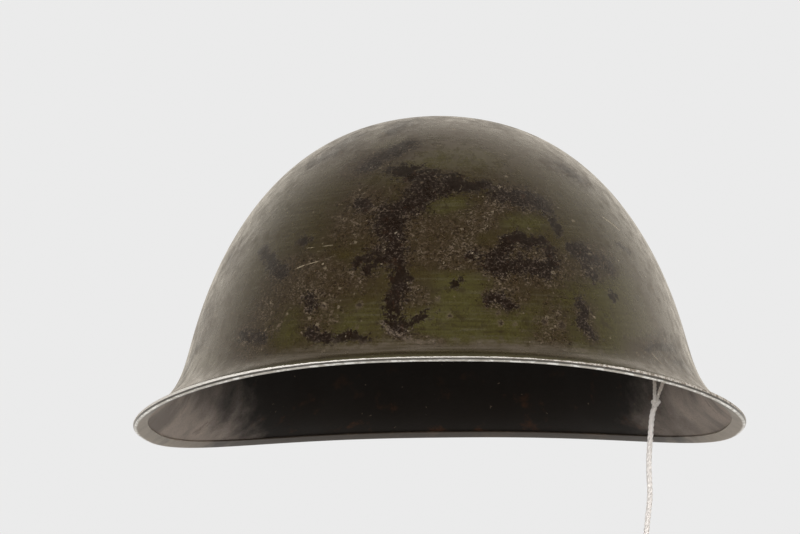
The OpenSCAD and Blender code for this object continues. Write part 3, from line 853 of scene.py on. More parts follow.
class Nodes:
    """Adds nodes to a material's or a group's tree and joins them."""

    def __init__(self, tree, material=None):
        self.tree = tree
        self.material = material

    def join(self, value, socket):
        if isinstance(value, bpy.types.NodeSocket):
            self.tree.links.new(value, socket)
        elif socket.type == "RGBA" and len(value) == 3:
            socket.default_value = (*value, 1)
        else:
            socket.default_value = value

    def add(self, kind, inputs=None, **settings):
        node = self.tree.nodes.new(kind)
        for name, value in settings.items():
            setattr(node, name, value)
        for name, value in (inputs or {}).items():
            self.join(value, node.inputs[name])
        return node

    def math(self, operation, a, b=0):
        return self.add("ShaderNodeMath", {0: a, 1: b}, operation=operation).outputs["Value"]

    def plus(self, a, b):
        return self.math("ADD", a, b)

    def minus(self, a, b):
        return self.math("SUBTRACT", a, b)

    def times(self, a, b):
        return self.math("MULTIPLY", a, b)

    def level(self, value, factor, addend):
        return self.add("ShaderNodeMath", {0: value, 1: factor, 2: addend},
            operation="MULTIPLY_ADD").outputs["Value"]

    def fade(self, value, start, end, low=0, high=1):
        return self.add("ShaderNodeMapRange", {"Value": value, "From Min": start,
            "From Max": end, "To Min": low, "To Max": high},
            interpolation_type="SMOOTHSTEP").outputs["Result"]

    def vectors(self, operation, a, b=(0, 0, 0), output="Value"):
        """A vector operation's number, or its vector where output says so."""
        node = self.add("ShaderNodeVectorMath", {0: a, 1: b}, operation=operation)
        return node.outputs[output]

    def stretched(self, vector, factors):
        return self.vectors("MULTIPLY", vector, factors, "Vector")

    def scaled(self, vector, factor):
        node = self.add("ShaderNodeVectorMath", {0: vector, "Scale": factor}, operation="SCALE")
        return node.outputs["Vector"]

    def parts(self, vector):
        return self.add("ShaderNodeSeparateXYZ", {"Vector": vector}).outputs

    def place(self):
        source = self.add("ShaderNodeTexCoord").outputs["Object"]
        return self.stretched(source, (1 / MM, 1 / MM, 1 / MM))

    def surface(self, across, along):
        """The piece's own UV map, from 0 to across and to along."""
        source = self.add("ShaderNodeTexCoord").outputs["UV"]
        return self.stretched(source, (across, along, 1))

    def attribute(self, name):
        return self.add("ShaderNodeAttribute", attribute_name=name).outputs["Fac"]

    def noise(self, vector, scale, detail=4, rough=0.6, warp=0):
        return self.add("ShaderNodeTexNoise", {"Vector": vector, "Scale": scale,
            "Detail": detail, "Roughness": rough, "Distortion": warp}).outputs["Fac"]

    def cells(self, vector, scale):
        """Distance from the middle of a cell, and the cell's own random colour."""
        node = self.add("ShaderNodeTexVoronoi", {"Vector": vector, "Scale": scale})
        return node.outputs["Distance"], node.outputs["Color"]

    def blend(self, mask, a, b):
        node = self.add("ShaderNodeMix", {0: mask, 6: a, 7: b}, data_type="RGBA")
        return node.outputs[2]

    def layered(self, color, *layers):
        """A colour with layers laid over it in turn, each a mask and its own colour."""
        for mask, over in layers:
            color = self.blend(mask, color, over)
        return color

    def effect(self, name, place, **inputs):
        """A shared effect's outputs at a place, with its inputs set by name."""
        node = self.add("ShaderNodeGroup", node_tree=bpy.data.node_groups[name])
        for key, value in {"Place": place, **inputs}.items():
            self.join(value, node.inputs[key])
        return node.outputs

    def bump(self, height, depth):
        """A normal raised by height, which runs from 0 to 1 over a depth in millimetres."""
        return self.add("ShaderNodeBump", {"Height": height,
            "Distance": depth * MM}).outputs["Normal"]


def shared_effect(name, outputs, **inputs):
    """An empty node group with a place, these inputs and their usual values, and number outputs:
    its helper, its input sockets and its output sockets."""
    group = bpy.data.node_groups.new(name, "ShaderNodeTree")
    for socket, value in {"Place": (0, 0, 0), **inputs}.items():
        kind = "NodeSocketVector" if isinstance(value, tuple) else "NodeSocketFloat"
        made = group.interface.new_socket(socket, in_out="INPUT", socket_type=kind)
        made.default_value = value
    for socket in outputs:
        group.interface.new_socket(socket, in_out="OUTPUT", socket_type="NodeSocketFloat")
    nodes = Nodes(group)
    return nodes, nodes.add("NodeGroupInput").outputs, nodes.add("NodeGroupOutput").inputs


# Worn patch: a painted field broken up at three scales into ragged bare ground, and its lip
n, given, end = shared_effect("worn_patch", ["Bare", "Lip"], Field=0, Ragged=1)
broken = n.level(n.noise(given["Place"], 0.08, 4, 0.6), 0.9, -0.45)
broken = n.plus(broken, n.level(n.noise(given["Place"], 0.27, 5, 0.65), 1.4, -0.7))
broken = n.plus(broken, n.level(n.noise(given["Place"], 0.66, 3, 0.65, 0.7), 2, -1.02))
reached = n.plus(given["Field"], n.times(broken, given["Ragged"]))
bare = n.fade(reached, 0.5, 0.55)
n.join(bare, end["Bare"])
n.join(n.minus(n.fade(reached, 0.38, 0.46), bare), end["Lip"])

# Specks: a share of small cells holds a spot of its own size, and a hole in many of the spots
n, given, end = shared_effect("specks", ["Spot", "Hole"], Fineness=0.6, Share=0.1, Fatness=0.45)
drift = n.add("ShaderNodeTexNoise", {"Vector": given["Place"], "Scale": 0.9}).outputs["Color"]
bent = n.vectors("ADD", given["Place"], n.scaled(drift, 2.2), "Vector")
away, lot = n.cells(bent, given["Fineness"])
lots = n.parts(lot)
held = n.math("LESS_THAN", lots["X"], given["Share"])
size = n.times(given["Fatness"], n.level(lots["Y"], 0.8, 0.2))
spot = n.fade(n.minus(size, away), 0, 0.06)
hole = n.fade(n.minus(n.times(size, 0.55), away), 0, 0.05)
n.join(n.times(held, spot), end["Spot"])
n.join(n.times(n.times(held, hole), n.math("LESS_THAN", lots["Z"], 0.6)), end["Hole"])

# Scratch: a thin broken line between two places
n, given, end = shared_effect("scratch", ["Mask"], From=(0, 0, 0), To=(1, 0, 0), Width=0.3)
offset = n.vectors("SUBTRACT", given["Place"], given["From"], "Vector")
whole = n.vectors("SUBTRACT", given["To"], given["From"], "Vector")
share = n.math("DIVIDE", n.vectors("DOT_PRODUCT", offset, whole),
    n.vectors("DOT_PRODUCT", whole, whole))
share = n.math("MINIMUM", n.math("MAXIMUM", share, 0), 1)
gap = n.vectors("DISTANCE", offset, n.scaled(whole, share))
rough_line = n.level(n.noise(given["Place"], 0.5, 4, 0.7), 1.3, 0.1)
thick = n.times(given["Width"], rough_line)
n.join(n.fade(n.minus(thick, gap), -0.08, 0.08), end["Mask"])

# Brush marks: level streaks that the brush left in the paint
n, given, end = shared_effect("brush_marks", ["Streak", "Grain"], Fineness=1)
n.join(n.noise(n.stretched(given["Place"], (0.045, 0.045, 1)), given["Fineness"], 5, 0.62, 0.3),
    end["Streak"])
n.join(n.noise(given["Place"], 1.6, 3, 0.65), end["Grain"])

# Weave: threads over and under one another, one to a unit of the place
n, given, end = shared_effect("weave", ["Height", "Warp", "Shade"])
cell = n.parts(given["Place"])
fold = {}
for way in ("X", "Y"):
    part = n.minus(n.math("FRACT", cell[way]), 0.5)
    fold[way] = n.level(n.times(part, part), -3.6, 1)
odd = n.plus(n.math("FLOOR", cell["X"]), n.math("FLOOR", cell["Y"]))
over = n.math("GREATER_THAN", n.math("FRACT", n.times(odd, 0.5)), 0.25)
n.join(over, end["Warp"])
n.join(n.add("ShaderNodeMix", {0: over, 2: fold["X"], 3: fold["Y"]}).outputs[0], end["Height"])
cell_floor = n.vectors("FLOOR", given["Place"], output="Vector")
n.join(n.add("ShaderNodeTexWhiteNoise", {"Vector": cell_floor},
    noise_dimensions="2D").outputs["Value"], end["Shade"])


def new_finish(name):
    """A new material's node helper, and the place that its patterns read."""
    material = bpy.data.materials.new(name)
    material.use_nodes = True
    material.node_tree.nodes.clear()
    n = Nodes(material.node_tree, material)
    return n, n.place()


def close_finish(n, color, roughness, normal, **plain):
    """Ends a material in its shader and output, and gives it back."""
    inputs = {"Base Color": color, "Roughness": roughness, "Normal": normal}
    for key, value in plain.items():
        inputs[key.replace("_", " ").title().replace("Ior", "IOR")] = value
    shader = n.add("ShaderNodeBsdfPrincipled", inputs)
    n.add("ShaderNodeOutputMaterial", {"Surface": shader.outputs["BSDF"]})
    return n.material


OLIVE = (0.052, 0.0445, 0.0125)
BROWN_OLIVE = (0.039, 0.0285, 0.009)
GREY_OLIVE = (0.08, 0.068, 0.042)
DARK_OLIVE = (0.026, 0.018, 0.008)
# Faded paint, with a painted glancing reflection
FADED_AND_SHEEN = (0.18, 0.146, 0.123)
# A painted highlight grey and a painted shade, both over the rim band
FLARE_HIGHLIGHT_GREY = (0.105, 0.083, 0.06)
BAND_CORNER_SHADE = (0.03, 0.023, 0.014)
CHIP_GROUND = (0.029, 0.018, 0.0095)
UMBER = (0.009, 0.0045, 0.0025)
RUST = (0.075, 0.03, 0.012)
BROWN_CHIP = (0.068, 0.046, 0.028)
TAN_CHIP = (0.13, 0.096, 0.065)
LEFT_CHIP = (0.105, 0.078, 0.06)
FLAKE = (0.19, 0.15, 0.1)
SMALL_FLAKE = (0.24, 0.19, 0.13)
# A painted glint
GLINT_SPECK_HIGHLIGHT = (0.3, 0.25, 0.18)
SCRATCHED = (0.34, 0.28, 0.19)
OLD_EDGE = (0.125, 0.093, 0.067)
INSIDE_DARK = (0.0085, 0.0062, 0.0045)
# Dust, with painted light
INSIDE_DUST_AND_LIGHT = (0.68, 0.575, 0.51)
DUST_GRAIN = (0.1, 0.08, 0.06)

# Single scratches: both ends and a width
SCRATCHES = [((-59, -103, 13.4), (-54, -106, 15.6), 0.4), ((-54, -106, 15.6), (-47, -109, 17), 0.34),
    ((-47, -109, 17), (-36, -112, 20.1), 0.2), ((-60, -97, 22.4), (-48, -105, 23.6), 0.2),
    ((-48, -105, 23.6), (-37, -109, 23.4), 0.24), ((-46, -110, 15.4), (-45.6, -110, 15.4), 0.55),
    ((16, -117, 18.2), (16.2, -117, 18.3), 0.5), ((53.6, -110, 6.2), (53.8, -110, 6.1), 0.5),
    ((72, -71, 40), (79, -66, 35), 0.55), ((94, -92, -25.9), (90, -93, -21), 0.3),
    ((-104, 40, 20), (-98, 62, 24), 0.4), ((30, 120, 18), (52, 112, 12), 0.4)]
# The tan edge of old paint along the foot of the dark streak
FOOT_LINE = [(-21, -127, -11), (-17.5, -128, -15), (-12, -129, -18), (-6.5, -130, -19.6),
    (-1.5, -130, -20.6)]
FOOT_LINE_WIDTH = 1.3
# Single flakes with a dark hole: place and reach
FLAKES = [((6.6, -127, -9), 1.5), ((27.3, -126, -11.9), 1.6), ((-30, -123, -3.4), 1.9),
    ((-31, -126, -12.6), 1), ((2, -125, -2), 1.2), ((33, -125, -12.5), 1.4), ((26, -125, -8), 1.3),
    ((45, -121, -11), 2), ((52, -119, -12), 2.2), ((-45, -119, -3), 1.7)]


def olive_paint():
    """Hand-brushed olive paint with its worn patches, flaked ground, chips, scratches, painted glints,
    and painted shade and a painted highlight over the rim band.
    """
    n, place = new_finish("brushed_olive_paint")
    worn, chipped, whole, foot = [n.attribute(name) for name in ("worn", "chipped", "whole", "foot")]
    marks = n.effect("brush_marks", place)
    streak = marks["Streak"]
    broad = n.noise(place, 0.035, 4, 0.6)
    middle = n.noise(place, 0.24, 5, 0.68)
    grain = n.noise(place, 0.95, 3, 0.6, 0.7)
    flecks = n.noise(n.stretched(place, (1, 1, 1.3)), 1, 3, 0.6, 1)
    mottle = n.noise(n.stretched(place, (1, 1, 0.7)), 0.17, 4, 0.72)
    # Whole paint, greenest where it is smooth, with brush marks
    tint = n.fade(n.plus(whole, n.level(broad, 1.6, -0.8)), 0.05, 0.7)
    color = n.layered(BROWN_OLIVE, (tint, OLIVE),
        (n.fade(streak, 0.51, 0.68, 0, 0.5), GREY_OLIVE),
        (n.fade(streak, 0.48, 0.34, 0, 0.5), DARK_OLIVE),
        (n.fade(marks["Grain"], 0.47, 0.36, 0, 0.6), DARK_OLIVE),
        (n.fade(middle, 0.48, 0.34, 0, 0.65), DARK_OLIVE))
    # Paint paler over the crown and down the sides, in mottles: faded, and with a painted glancing
    # reflection
    sides = n.fade(n.math("ABSOLUTE", n.parts(place)["X"]), 66, 108, 0, 0.78)
    faded_and_sheen = n.math("MAXIMUM", n.fade(n.parts(place)["Z"], 42, 90), sides)
    color = n.blend(n.times(faded_and_sheen, n.fade(mottle, 0.32, 0.66, 0.2, 0.6)), color, FADED_AND_SHEEN)
    # Flaked ground: dark pits and tan chips, thick where the paint is chipped
    zone = n.plus(chipped, n.level(middle, 1.3, -0.65))
    zone = n.plus(zone, n.level(broad, 1.2, -0.6))
    zone = n.fade(n.minus(zone, n.times(whole, 0.35)), 0, 0.6)
    pits = n.plus(n.level(zone, 0.13, -0.09), n.level(worn, 0.22, 0))
    pits = n.fade(n.minus(grain, pits), 0.42, 0.36)
    loose = n.plus(flecks, n.level(zone, 0.18, -0.135))
    chip_color = n.blend(n.fade(mottle, 0.42, 0.62), BROWN_CHIP, TAN_CHIP)
    flakes = n.effect("specks", place, Fineness=0.32, Share=n.level(zone, 0.2, 0.02), Fatness=0.36)
    sparse = n.effect("specks", place, Fineness=0.6, Share=n.level(zone, 0.08, 0.015), Fatness=0.3)
    color = n.layered(color, (n.times(zone, 0.65), CHIP_GROUND), (n.times(pits, 0.8), UMBER),
        (n.fade(loose, 0.57, 0.63, 0, 0.8), chip_color), (n.times(flakes["Spot"], 0.6), FLAKE),
        (n.times(flakes["Hole"], 0.85), UMBER), (n.times(sparse["Spot"], 0.7), SMALL_FLAKE))
    # Bare ground, nearly black, with chips left in it, pale specks of painted glint, and a lip of tan
    # primer
    patch = n.effect("worn_patch", place, Field=worn)
    left_on = n.times(n.fade(mottle, 0.4, 0.56, 0.35, 1), n.fade(chipped, 0.2, 0.6, 0.25, 1))
    left_on = n.times(n.fade(flecks, 0.54, 0.63, 0, 0.75), left_on)
    # Pale specks of painted glint
    glint = n.effect("specks", place, Fineness=0.9, Share=0.09, Fatness=0.3)
    ground = n.layered(UMBER, (n.fade(n.noise(place, 0.3, 4, 0.6), 0.56, 0.75, 0, 0.3), RUST),
        (left_on, LEFT_CHIP), (n.times(glint["Spot"], 0.8), GLINT_SPECK_HIGHLIGHT))
    lip = n.times(patch["Lip"], n.fade(flecks, 0.46, 0.58))
    color = n.layered(color, (n.times(lip, 0.5), TAN_CHIP), (n.times(patch["Bare"], 0.93), ground))
    # Single flakes and scratches
    ragged = n.level(flecks, 5, -2.5)
    for flake_at, reach in FLAKES:
        away = n.plus(n.vectors("DISTANCE", place, flake_at), ragged)
        color = n.layered(color, (n.fade(away, reach, reach - 0.7, 0, 0.55), TAN_CHIP),
            (n.fade(away, reach - 0.6, reach - 1, 0, 0.75), UMBER))
    foot_lines = [(a, b, FOOT_LINE_WIDTH) for a, b in zip(FOOT_LINE, FOOT_LINE[1:])]
    foot_strength = n.fade(flecks, 0.45, 0.6, 0.12, 0.75)
    for lines, strength, shade in [(SCRATCHES, 0.75, SCRATCHED), (foot_lines, foot_strength, OLD_EDGE)]:
        for start, stop, width in lines:
            line = n.effect("scratch", place, From=start, To=stop, Width=width)
            color = n.blend(n.times(line["Mask"], strength), color, shade)
    # A painted shade in the corner over the rim band, and a painted grey highlight in a streak above it
    above_band = n.plus(foot, n.level(middle, 12, -6))
    flare_highlight = n.times(n.fade(foot, 2.2, 3.4), n.fade(above_band, 10, 4.5))
    flare_highlight = n.times(flare_highlight, n.fade(streak, 0.35, 0.6, 0.25, 0.9))
    color = n.layered(color, (flare_highlight, FLARE_HIGHLIGHT_GREY), (n.fade(foot, 3, 1.4, 0, 0.8), BAND_CORNER_SHADE))
    rough = n.math("MINIMUM", n.math("MAXIMUM", n.level(mottle, 1.1, -0.27), 0.14), 0.5)
    rough = n.plus(rough, n.times(n.math("MAXIMUM", patch["Bare"], zone), 0.1))
    skin = n.plus(n.level(streak, 0.3, 0), n.level(middle, 0.5, 0))
    skin = n.plus(skin, n.times(grain, n.level(zone, 0.5, 0.25)))
    skin = n.minus(skin, n.times(patch["Bare"], 0.3))
    return close_finish(n, color, rough, n.bump(skin, 0.2), coat_weight=0.35, coat_roughness=0.2)


def inside_paint():
    """The dull, nearly black paint inside, pale low down at both sides with dust and painted light, and
    with rust near the rim.
    """
    n, place = new_finish("dull_inside_paint")
    at = n.parts(place)
    cloud = n.noise(place, 0.05, 5, 0.6)
    puffs = n.noise(place, 0.035, 3, 0.5)
    grain = n.noise(place, 1.2, 4, 0.7)
    specks = n.effect("specks", place, Fineness=0.5, Share=0.05, Fatness=0.35)
    height = n.plus(at["Z"], n.level(cloud, 24, -12))
    outwards = n.plus(n.math("ABSOLUTE", at["X"]), n.level(cloud, 40, -20))
    # Pale low down at both sides and dark deep in the middle: dust, with painted light and painted
    # shade
    dust = n.times(n.fade(height, 16, -34, 0, 0.95), n.fade(outwards, 88, 120, 0.004, 1))
    dust = n.times(dust, n.fade(puffs, 0.36, 0.62, 0.55, 1))
    bloom = n.times(n.fade(at["Z"], 10, -35), n.fade(n.noise(place, 0.07, 6, 0.66), 0.56, 0.7))
    color = n.layered(INSIDE_DARK, (n.times(dust, n.fade(grain, 0.3, 0.6, 0.7, 1)), INSIDE_DUST_AND_LIGHT),
        (n.times(dust, n.fade(grain, 0.56, 0.76, 0, 0.3)), DUST_GRAIN),
        (n.times(bloom, 0.45), RUST), (n.times(specks["Spot"], 0.6), TAN_CHIP))
    return close_finish(n, color, n.level(cloud, 0.2, 0.55), n.bump(grain, 0.12),
        specular_ior_level=0.12)


# The rim band's colours: its steel, the lines along it with their painted highlights, painted glints
# and painted shaded line, the paint on it, and the primer under it with painted shade and a painted
# reflection
BARE_RIM = (0.6, 0.57, 0.52)
DULLED_RIM = (0.38, 0.33, 0.27)
DRAWN_LINE = (0.4, 0.36, 0.31)
# Painted glints, a painted shaded line and painted highlights on the broken edge
RIM_GLINT_HIGHLIGHT = (0.96, 0.94, 0.9)
SHADED_LINE = (0.075, 0.067, 0.058)
HIGHLIGHT_EDGE = (0.62, 0.58, 0.53)
HIGHLIGHT_EDGE_RIGHT = (0.8, 0.76, 0.71)
NICK = (0.24, 0.2, 0.16)
SHADED_PRIMER = (0.05, 0.037, 0.027)
# Primer darkened with painted shade, and a painted pale reflection at the ends
REFLECTED_PALE_ENDS = (0.42, 0.35, 0.28)
PRIMER_STAIN = (0.13, 0.09, 0.062)
RIM_PAINT = (0.06, 0.05, 0.024)


def rim_steel():
    """Bright drawn steel, painted over its upper leg, with a painted highlight, a painted shaded line
    and painted glints along its fold, and stained underneath with painted shade and a painted
    reflection.
    The section is 0 at the upper leg's end. Its fold runs from 0.13 to 0.4, and the leg underneath
    ends at 0.53."""
    n, place = new_finish("drawn_rim_steel")
    section = n.parts(n.surface(1, 1))["Y"]
    side = n.parts(place)["X"]
    across = n.math("ABSOLUTE", side)
    cloud = n.noise(place, 0.06, 4, 0.6)
    fleck = n.noise(place, 0.45, 6, 0.7)
    drawn = n.noise(n.stretched(place, (0.15, 0.15, 3)), 1, 4, 0.65)
    painted_glints = n.noise(n.stretched(place, (0.3, 0.3, 1)), 0.8, 4, 0.7)
    # The paint stops on the fold, sooner at the sides, in a ragged line that is bare where it broke and
    # bright there with a painted highlight, over a painted shaded line
    ragged = n.plus(section, n.level(fleck, 0.05, -0.025))
    thinner = n.plus(ragged, n.fade(across, 40, 110, 0, 0.08))
    paint = n.fade(thinner, 0.215, 0.205)
    # A painted highlight along the paint's broken edge, brighter on the right
    edge = n.times(n.fade(thinner, 0.2, 0.215), n.fade(section, 0.244, 0.232))
    nicks = n.times(n.fade(n.noise(place, 0.6, 5, 0.7), 0.46, 0.56), n.fade(side, 10, 60))
    highlight_edge_color = n.layered(HIGHLIGHT_EDGE, (n.fade(side, -10, -50), HIGHLIGHT_EDGE_RIGHT), (nicks, NICK))
    shaded = n.times(n.fade(section, 0.229, 0.24), n.fade(section, 0.298, 0.284))
    # The fold's underside and the leg under it, in primer with stains: painted shade darkest in the
    # middle of the front and the back, and a painted pale reflection at the sides
    below = n.fade(section, 0.33, 0.4)
    outwards = n.plus(across, n.level(cloud, 60, -30))
    stain = n.fade(n.plus(cloud, n.level(fleck, 0.5, -0.25)), 0.48, 0.72, 0, 0.4)
    primer_shade_and_reflection = n.layered(SHADED_PRIMER, (n.fade(outwards, 100, 138), REFLECTED_PALE_ENDS), (stain, PRIMER_STAIN))
    # Painted glints on the steel, the painted shaded line, the painted highlight edge, the underside
    # and the paint
    color = n.layered(BARE_RIM, (n.fade(cloud, 0.5, 0.75, 0, 0.3), DULLED_RIM),
        (n.fade(drawn, 0.48, 0.7, 0, 0.5), DRAWN_LINE), (n.fade(painted_glints, 0.5, 0.57), RIM_GLINT_HIGHLIGHT),
        (n.fade(painted_glints, 0.46, 0.34, 0, 0.5), DRAWN_LINE), (n.times(shaded, 0.92), SHADED_LINE),
        (edge, highlight_edge_color), (below, primer_shade_and_reflection), (paint, RIM_PAINT))
    cover = n.math("MAXIMUM", paint, n.math("MAXIMUM", n.times(below, 0.8), edge))
    rough = n.plus(n.level(drawn, 0.16, 0.22), n.times(cover, 0.25))
    height = n.plus(n.times(drawn, 0.4), n.times(paint, 0.6))
    return close_finish(n, color, rough, n.bump(height, 0.06), metallic=n.level(cover, -0.9, 0.92))


def painted_steel(name, steel, paint, cover):
    """Steel fittings under thin paint that has rubbed off, with rust in the open places."""
    n, place = new_finish(name)
    speck = n.noise(place, 1.6, 3, 0.6)
    kept = n.fade(n.noise(place, 0.22, 4, 0.6), cover - 0.03, cover + 0.05, 1, 0)
    rust = n.times(n.fade(n.noise(place, 0.5, 5, 0.7), 0.5, 0.64), 0.75)
    color = n.layered(steel, (rust, RUST), (kept, paint),
        (n.fade(speck, 0.56, 0.76, 0, 0.35), DARK_OLIVE))
    metal = n.times(n.level(kept, -0.95, 0.95), n.level(rust, -0.9, 1))
    rough = n.plus(n.level(speck, 0.2, 0.28), n.times(kept, 0.12))
    height = n.plus(n.times(kept, 0.5), n.times(speck, 0.5))
    return close_finish(n, color, rough, n.bump(height, 0.08), metallic=metal)


def old_brass():
    n, place = new_finish("old_brass")
    dull = n.noise(place, 0.5, 5, 0.65)
    speck = n.noise(place, 2.2, 3, 0.6)
    color = n.layered((0.5, 0.36, 0.14), (n.fade(dull, 0.35, 0.65), (0.2, 0.14, 0.07)),
        (n.fade(speck, 0.6, 0.75, 0, 0.5), (0.06, 0.07, 0.045)))
    return close_finish(n, color, n.level(dull, 0.3, 0.22), n.bump(speck, 0.05), metallic=0.92)


def fibre_board():
    """Pressed fibre: brown, with short fibres along the band."""
    n, place = new_finish("pressed_fibre")
    fibres = n.noise(n.stretched(place, (0.5, 0.5, 2.4)), 1, 6, 0.7)
    cloud = n.noise(place, 0.07, 4, 0.6)
    color = n.layered((0.1, 0.058, 0.03), (n.fade(cloud, 0.35, 0.68), (0.06, 0.034, 0.018)),
        (n.fade(fibres, 0.52, 0.72, 0, 0.6), (0.17, 0.11, 0.065)))
    return close_finish(n, color, n.level(cloud, 0.2, 0.5), n.bump(fibres, 0.15))


def sweat_leather():
    """Thin sheepskin: fine pebbled grain, creases, dark sweat marks along the lower edge."""
    n, place = new_finish("sweat_leather")
    pebble, lot = n.cells(place, 0.9)
    crease = n.noise(n.stretched(place, (0.12, 0.12, 0.5)), 1, 5, 0.6, 1.2)
    creased = n.times(n.fade(crease, 0.44, 0.5), n.fade(crease, 0.56, 0.5))
    cloud = n.noise(place, 0.05, 4, 0.6)
    damp = n.plus(n.parts(place)["Z"], n.level(cloud, 16, -8))
    color = n.layered((0.085, 0.047, 0.025), (n.fade(cloud, 0.35, 0.7), (0.05, 0.026, 0.014)),
        (n.fade(damp, 11, 5, 0, 0.65), (0.022, 0.012, 0.007)),
        (n.times(creased, 0.5), (0.03, 0.017, 0.01)),
        (n.fade(pebble, 0.25, 0.6, 0, 0.3), (0.025, 0.014, 0.008)))
    height = n.minus(n.level(pebble, -0.7, 1), n.times(creased, 0.8))
    return close_finish(n, color, n.level(cloud, 0.2, 0.4), n.bump(height, 0.14))


def webbing(length):
    """Cotton webbing, woven along the strap's own run."""
    n, place = new_finish("cotton_webbing")
    surface = n.surface(length, 2 * (STRAP_W + STRAP_T))
    weave = n.effect("weave", n.stretched(surface, (0.9, 0.75, 1)))
    soil = n.noise(place, 0.06, 5, 0.65)
    fuzz = n.noise(place, 2.4, 3, 0.6)
    color = n.layered((0.3, 0.235, 0.135), (weave["Warp"], (0.25, 0.19, 0.105)),
        (n.level(weave["Shade"], 0.3, 0), (0.19, 0.145, 0.085)),
        (n.fade(soil, 0.45, 0.7, 0, 0.6), (0.11, 0.08, 0.048)))
    height = n.plus(weave["Height"], n.times(fuzz, 0.3))
    return close_finish(n, color, n.level(fuzz, 0.15, 0.75), n.bump(height, 0.28), sheen_weight=0.15)


def pad_felt():
    n, place = new_finish("pressed_felt")
    fibres = n.noise(place, 1.5, 8, 0.75, 1.5)
    cloud = n.noise(place, 0.08, 4, 0.6)
    color = n.layered((0.06, 0.055, 0.045), (n.fade(cloud, 0.35, 0.7), (0.035, 0.031, 0.025)),
        (n.fade(fibres, 0.52, 0.7, 0, 0.7), (0.13, 0.12, 0.1)))
    return close_finish(n, color, n.level(fibres, 0.1, 0.85), n.bump(fibres, 0.5), sheen_weight=0.2)


def buffer_rubber():
    """Old rubber with a chalky bloom and crazed, dusty faces."""
    n, place = new_finish("bloomed_rubber")
    bloom = n.noise(place, 0.12, 5, 0.65)
    dust = n.noise(place, 1.3, 4, 0.7)
    color = n.layered((0.017, 0.016, 0.015), (n.fade(bloom, 0.42, 0.72, 0, 0.7), (0.07, 0.064, 0.055)),
        (n.fade(dust, 0.58, 0.75, 0, 0.5), (0.11, 0.095, 0.075)))
    return close_finish(n, color, n.level(bloom, 0.25, 0.5), n.bump(dust, 0.12))


def cotton_string():
    """Off-white cotton with fine fibres, yellower and darker up inside the brim."""
    n, place = new_finish("twisted_cotton")
    fibres = n.noise(n.stretched(place, (3, 3, 1.2)), 1.4, 5, 0.7)
    soil = n.noise(place, 0.16, 4, 0.6)
    height = n.plus(n.parts(place)["Z"], n.level(soil, 16, -8))
    color = n.layered((0.94, 0.89, 0.85), (n.fade(height, -40, -22), (0.86, 0.77, 0.68)),
        (n.fade(fibres, 0.5, 0.3, 0, 0.25), (0.6, 0.53, 0.45)),
        (n.fade(soil, 0.58, 0.75, 0, 0.25), (0.45, 0.38, 0.3)))
    return close_finish(n, color, n.level(fibres, 0.1, 0.8), n.bump(fibres, 0.12), sheen_weight=0.5)


def linen_thread(color):
    n, place = new_finish("waxed_thread")
    twist = n.noise(place, 3, 4, 0.7)
    shade = n.blend(n.fade(twist, 0.35, 0.65), color, tuple(0.45 * part for part in color))
    return close_finish(n, shade, n.level(twist, 0.2, 0.6), n.bump(twist, 0.1))


# Each piece gets its finish and its body
finish_piece(shell, "shell", "olive_paint", olive_paint(), inside_paint(), stands_for=["shell"])
modified(shell, "SOLIDIFY", thickness=SHEET_T * MM, offset=-1, use_even_offset=True,
    material_offset=1, material_offset_rim=1)
smooth(shell)
finish_piece(rim, "shell", "rim_steel", rim_steel(), stands_for=["rim_band"])

lug_steel = painted_steel("rubbed_lug_steel", (0.32, 0.29, 0.25), (0.045, 0.037, 0.02), 0.56)
wire_steel = painted_steel("rubbed_wire_steel", (0.3, 0.27, 0.23), (0.05, 0.042, 0.026), 0.57)
plain_steel = painted_steel("dulled_liner_steel", (0.42, 0.4, 0.36), (0.12, 0.11, 0.09), 0.36)
DRESSED_FINISHES = [
    (["lug_left", "lug_right"], "shell", "lug_steel", lug_steel),
    (["lug_rivet_left", "lug_rivet_right"], "shell", "olive_paint", lug_steel),
    (["crown_stud"], "shell", "lug_steel", lug_steel),
    (["loop_left"], "chin_loop_left", "wire_steel", wire_steel),
    (["loop_right"], "chin_loop_right", "wire_steel", wire_steel),
    (["crown_plate", "clamp_washer", "crown_screw"], "liner", "lug_steel", plain_steel),
    (["strap_rivets", "buffer_rivets"], "liner", "rivet_brass", old_brass()),
    (BUFFERS, "liner", "buffer_rubber", buffer_rubber())]
for nodes, body, slot, finish in DRESSED_FINISHES:
    for node in nodes:
        finish_piece(dressed[node], body, slot, finish, stands_for=[node])

finish_piece(board, "liner", "fibre_board", fibre_board(), stands_for=["headband"])
finish_piece(leather, "liner", "sweat_leather", sweat_leather(), stands_for=["sweatband"])
finish_piece(leather_thread, "liner", "sweat_leather", linen_thread((0.3, 0.24, 0.16)))
webbing_finish = webbing(WEAVE_LENGTH)
finish_piece(long_strap, "liner", "strap_webbing", webbing_finish, stands_for=["crown_strap_long"])
finish_piece(cross_strap, "liner", "strap_webbing", webbing_finish, stands_for=["crown_strap_cross"])
finish_piece(pad, "liner", "pad_felt", pad_felt(), stands_for=["crown_pad"])

string_finish = cotton_string()
for piece, node in [(string_loop, "tag_string_loop"), (string_tail, "tag_string"),
        (tie_knot, "tag_knot"), (end_knot, "tag_end_knot")]:
    finish_piece(piece, "tag", "cotton_string", string_finish, stands_for=[node])


# Surroundings: a pale world that lights the far side most, soft lamps in front, and a pale floor
# that fades into the world's own tone
FAR_TONE = (0.83, 0.83, 0.83)


def mixed(n, share, first, second):
    """A shader node that mixes two others."""
    return n.add("ShaderNodeMixShader", {0: share, 1: first.outputs[0], 2: second.outputs[0]})


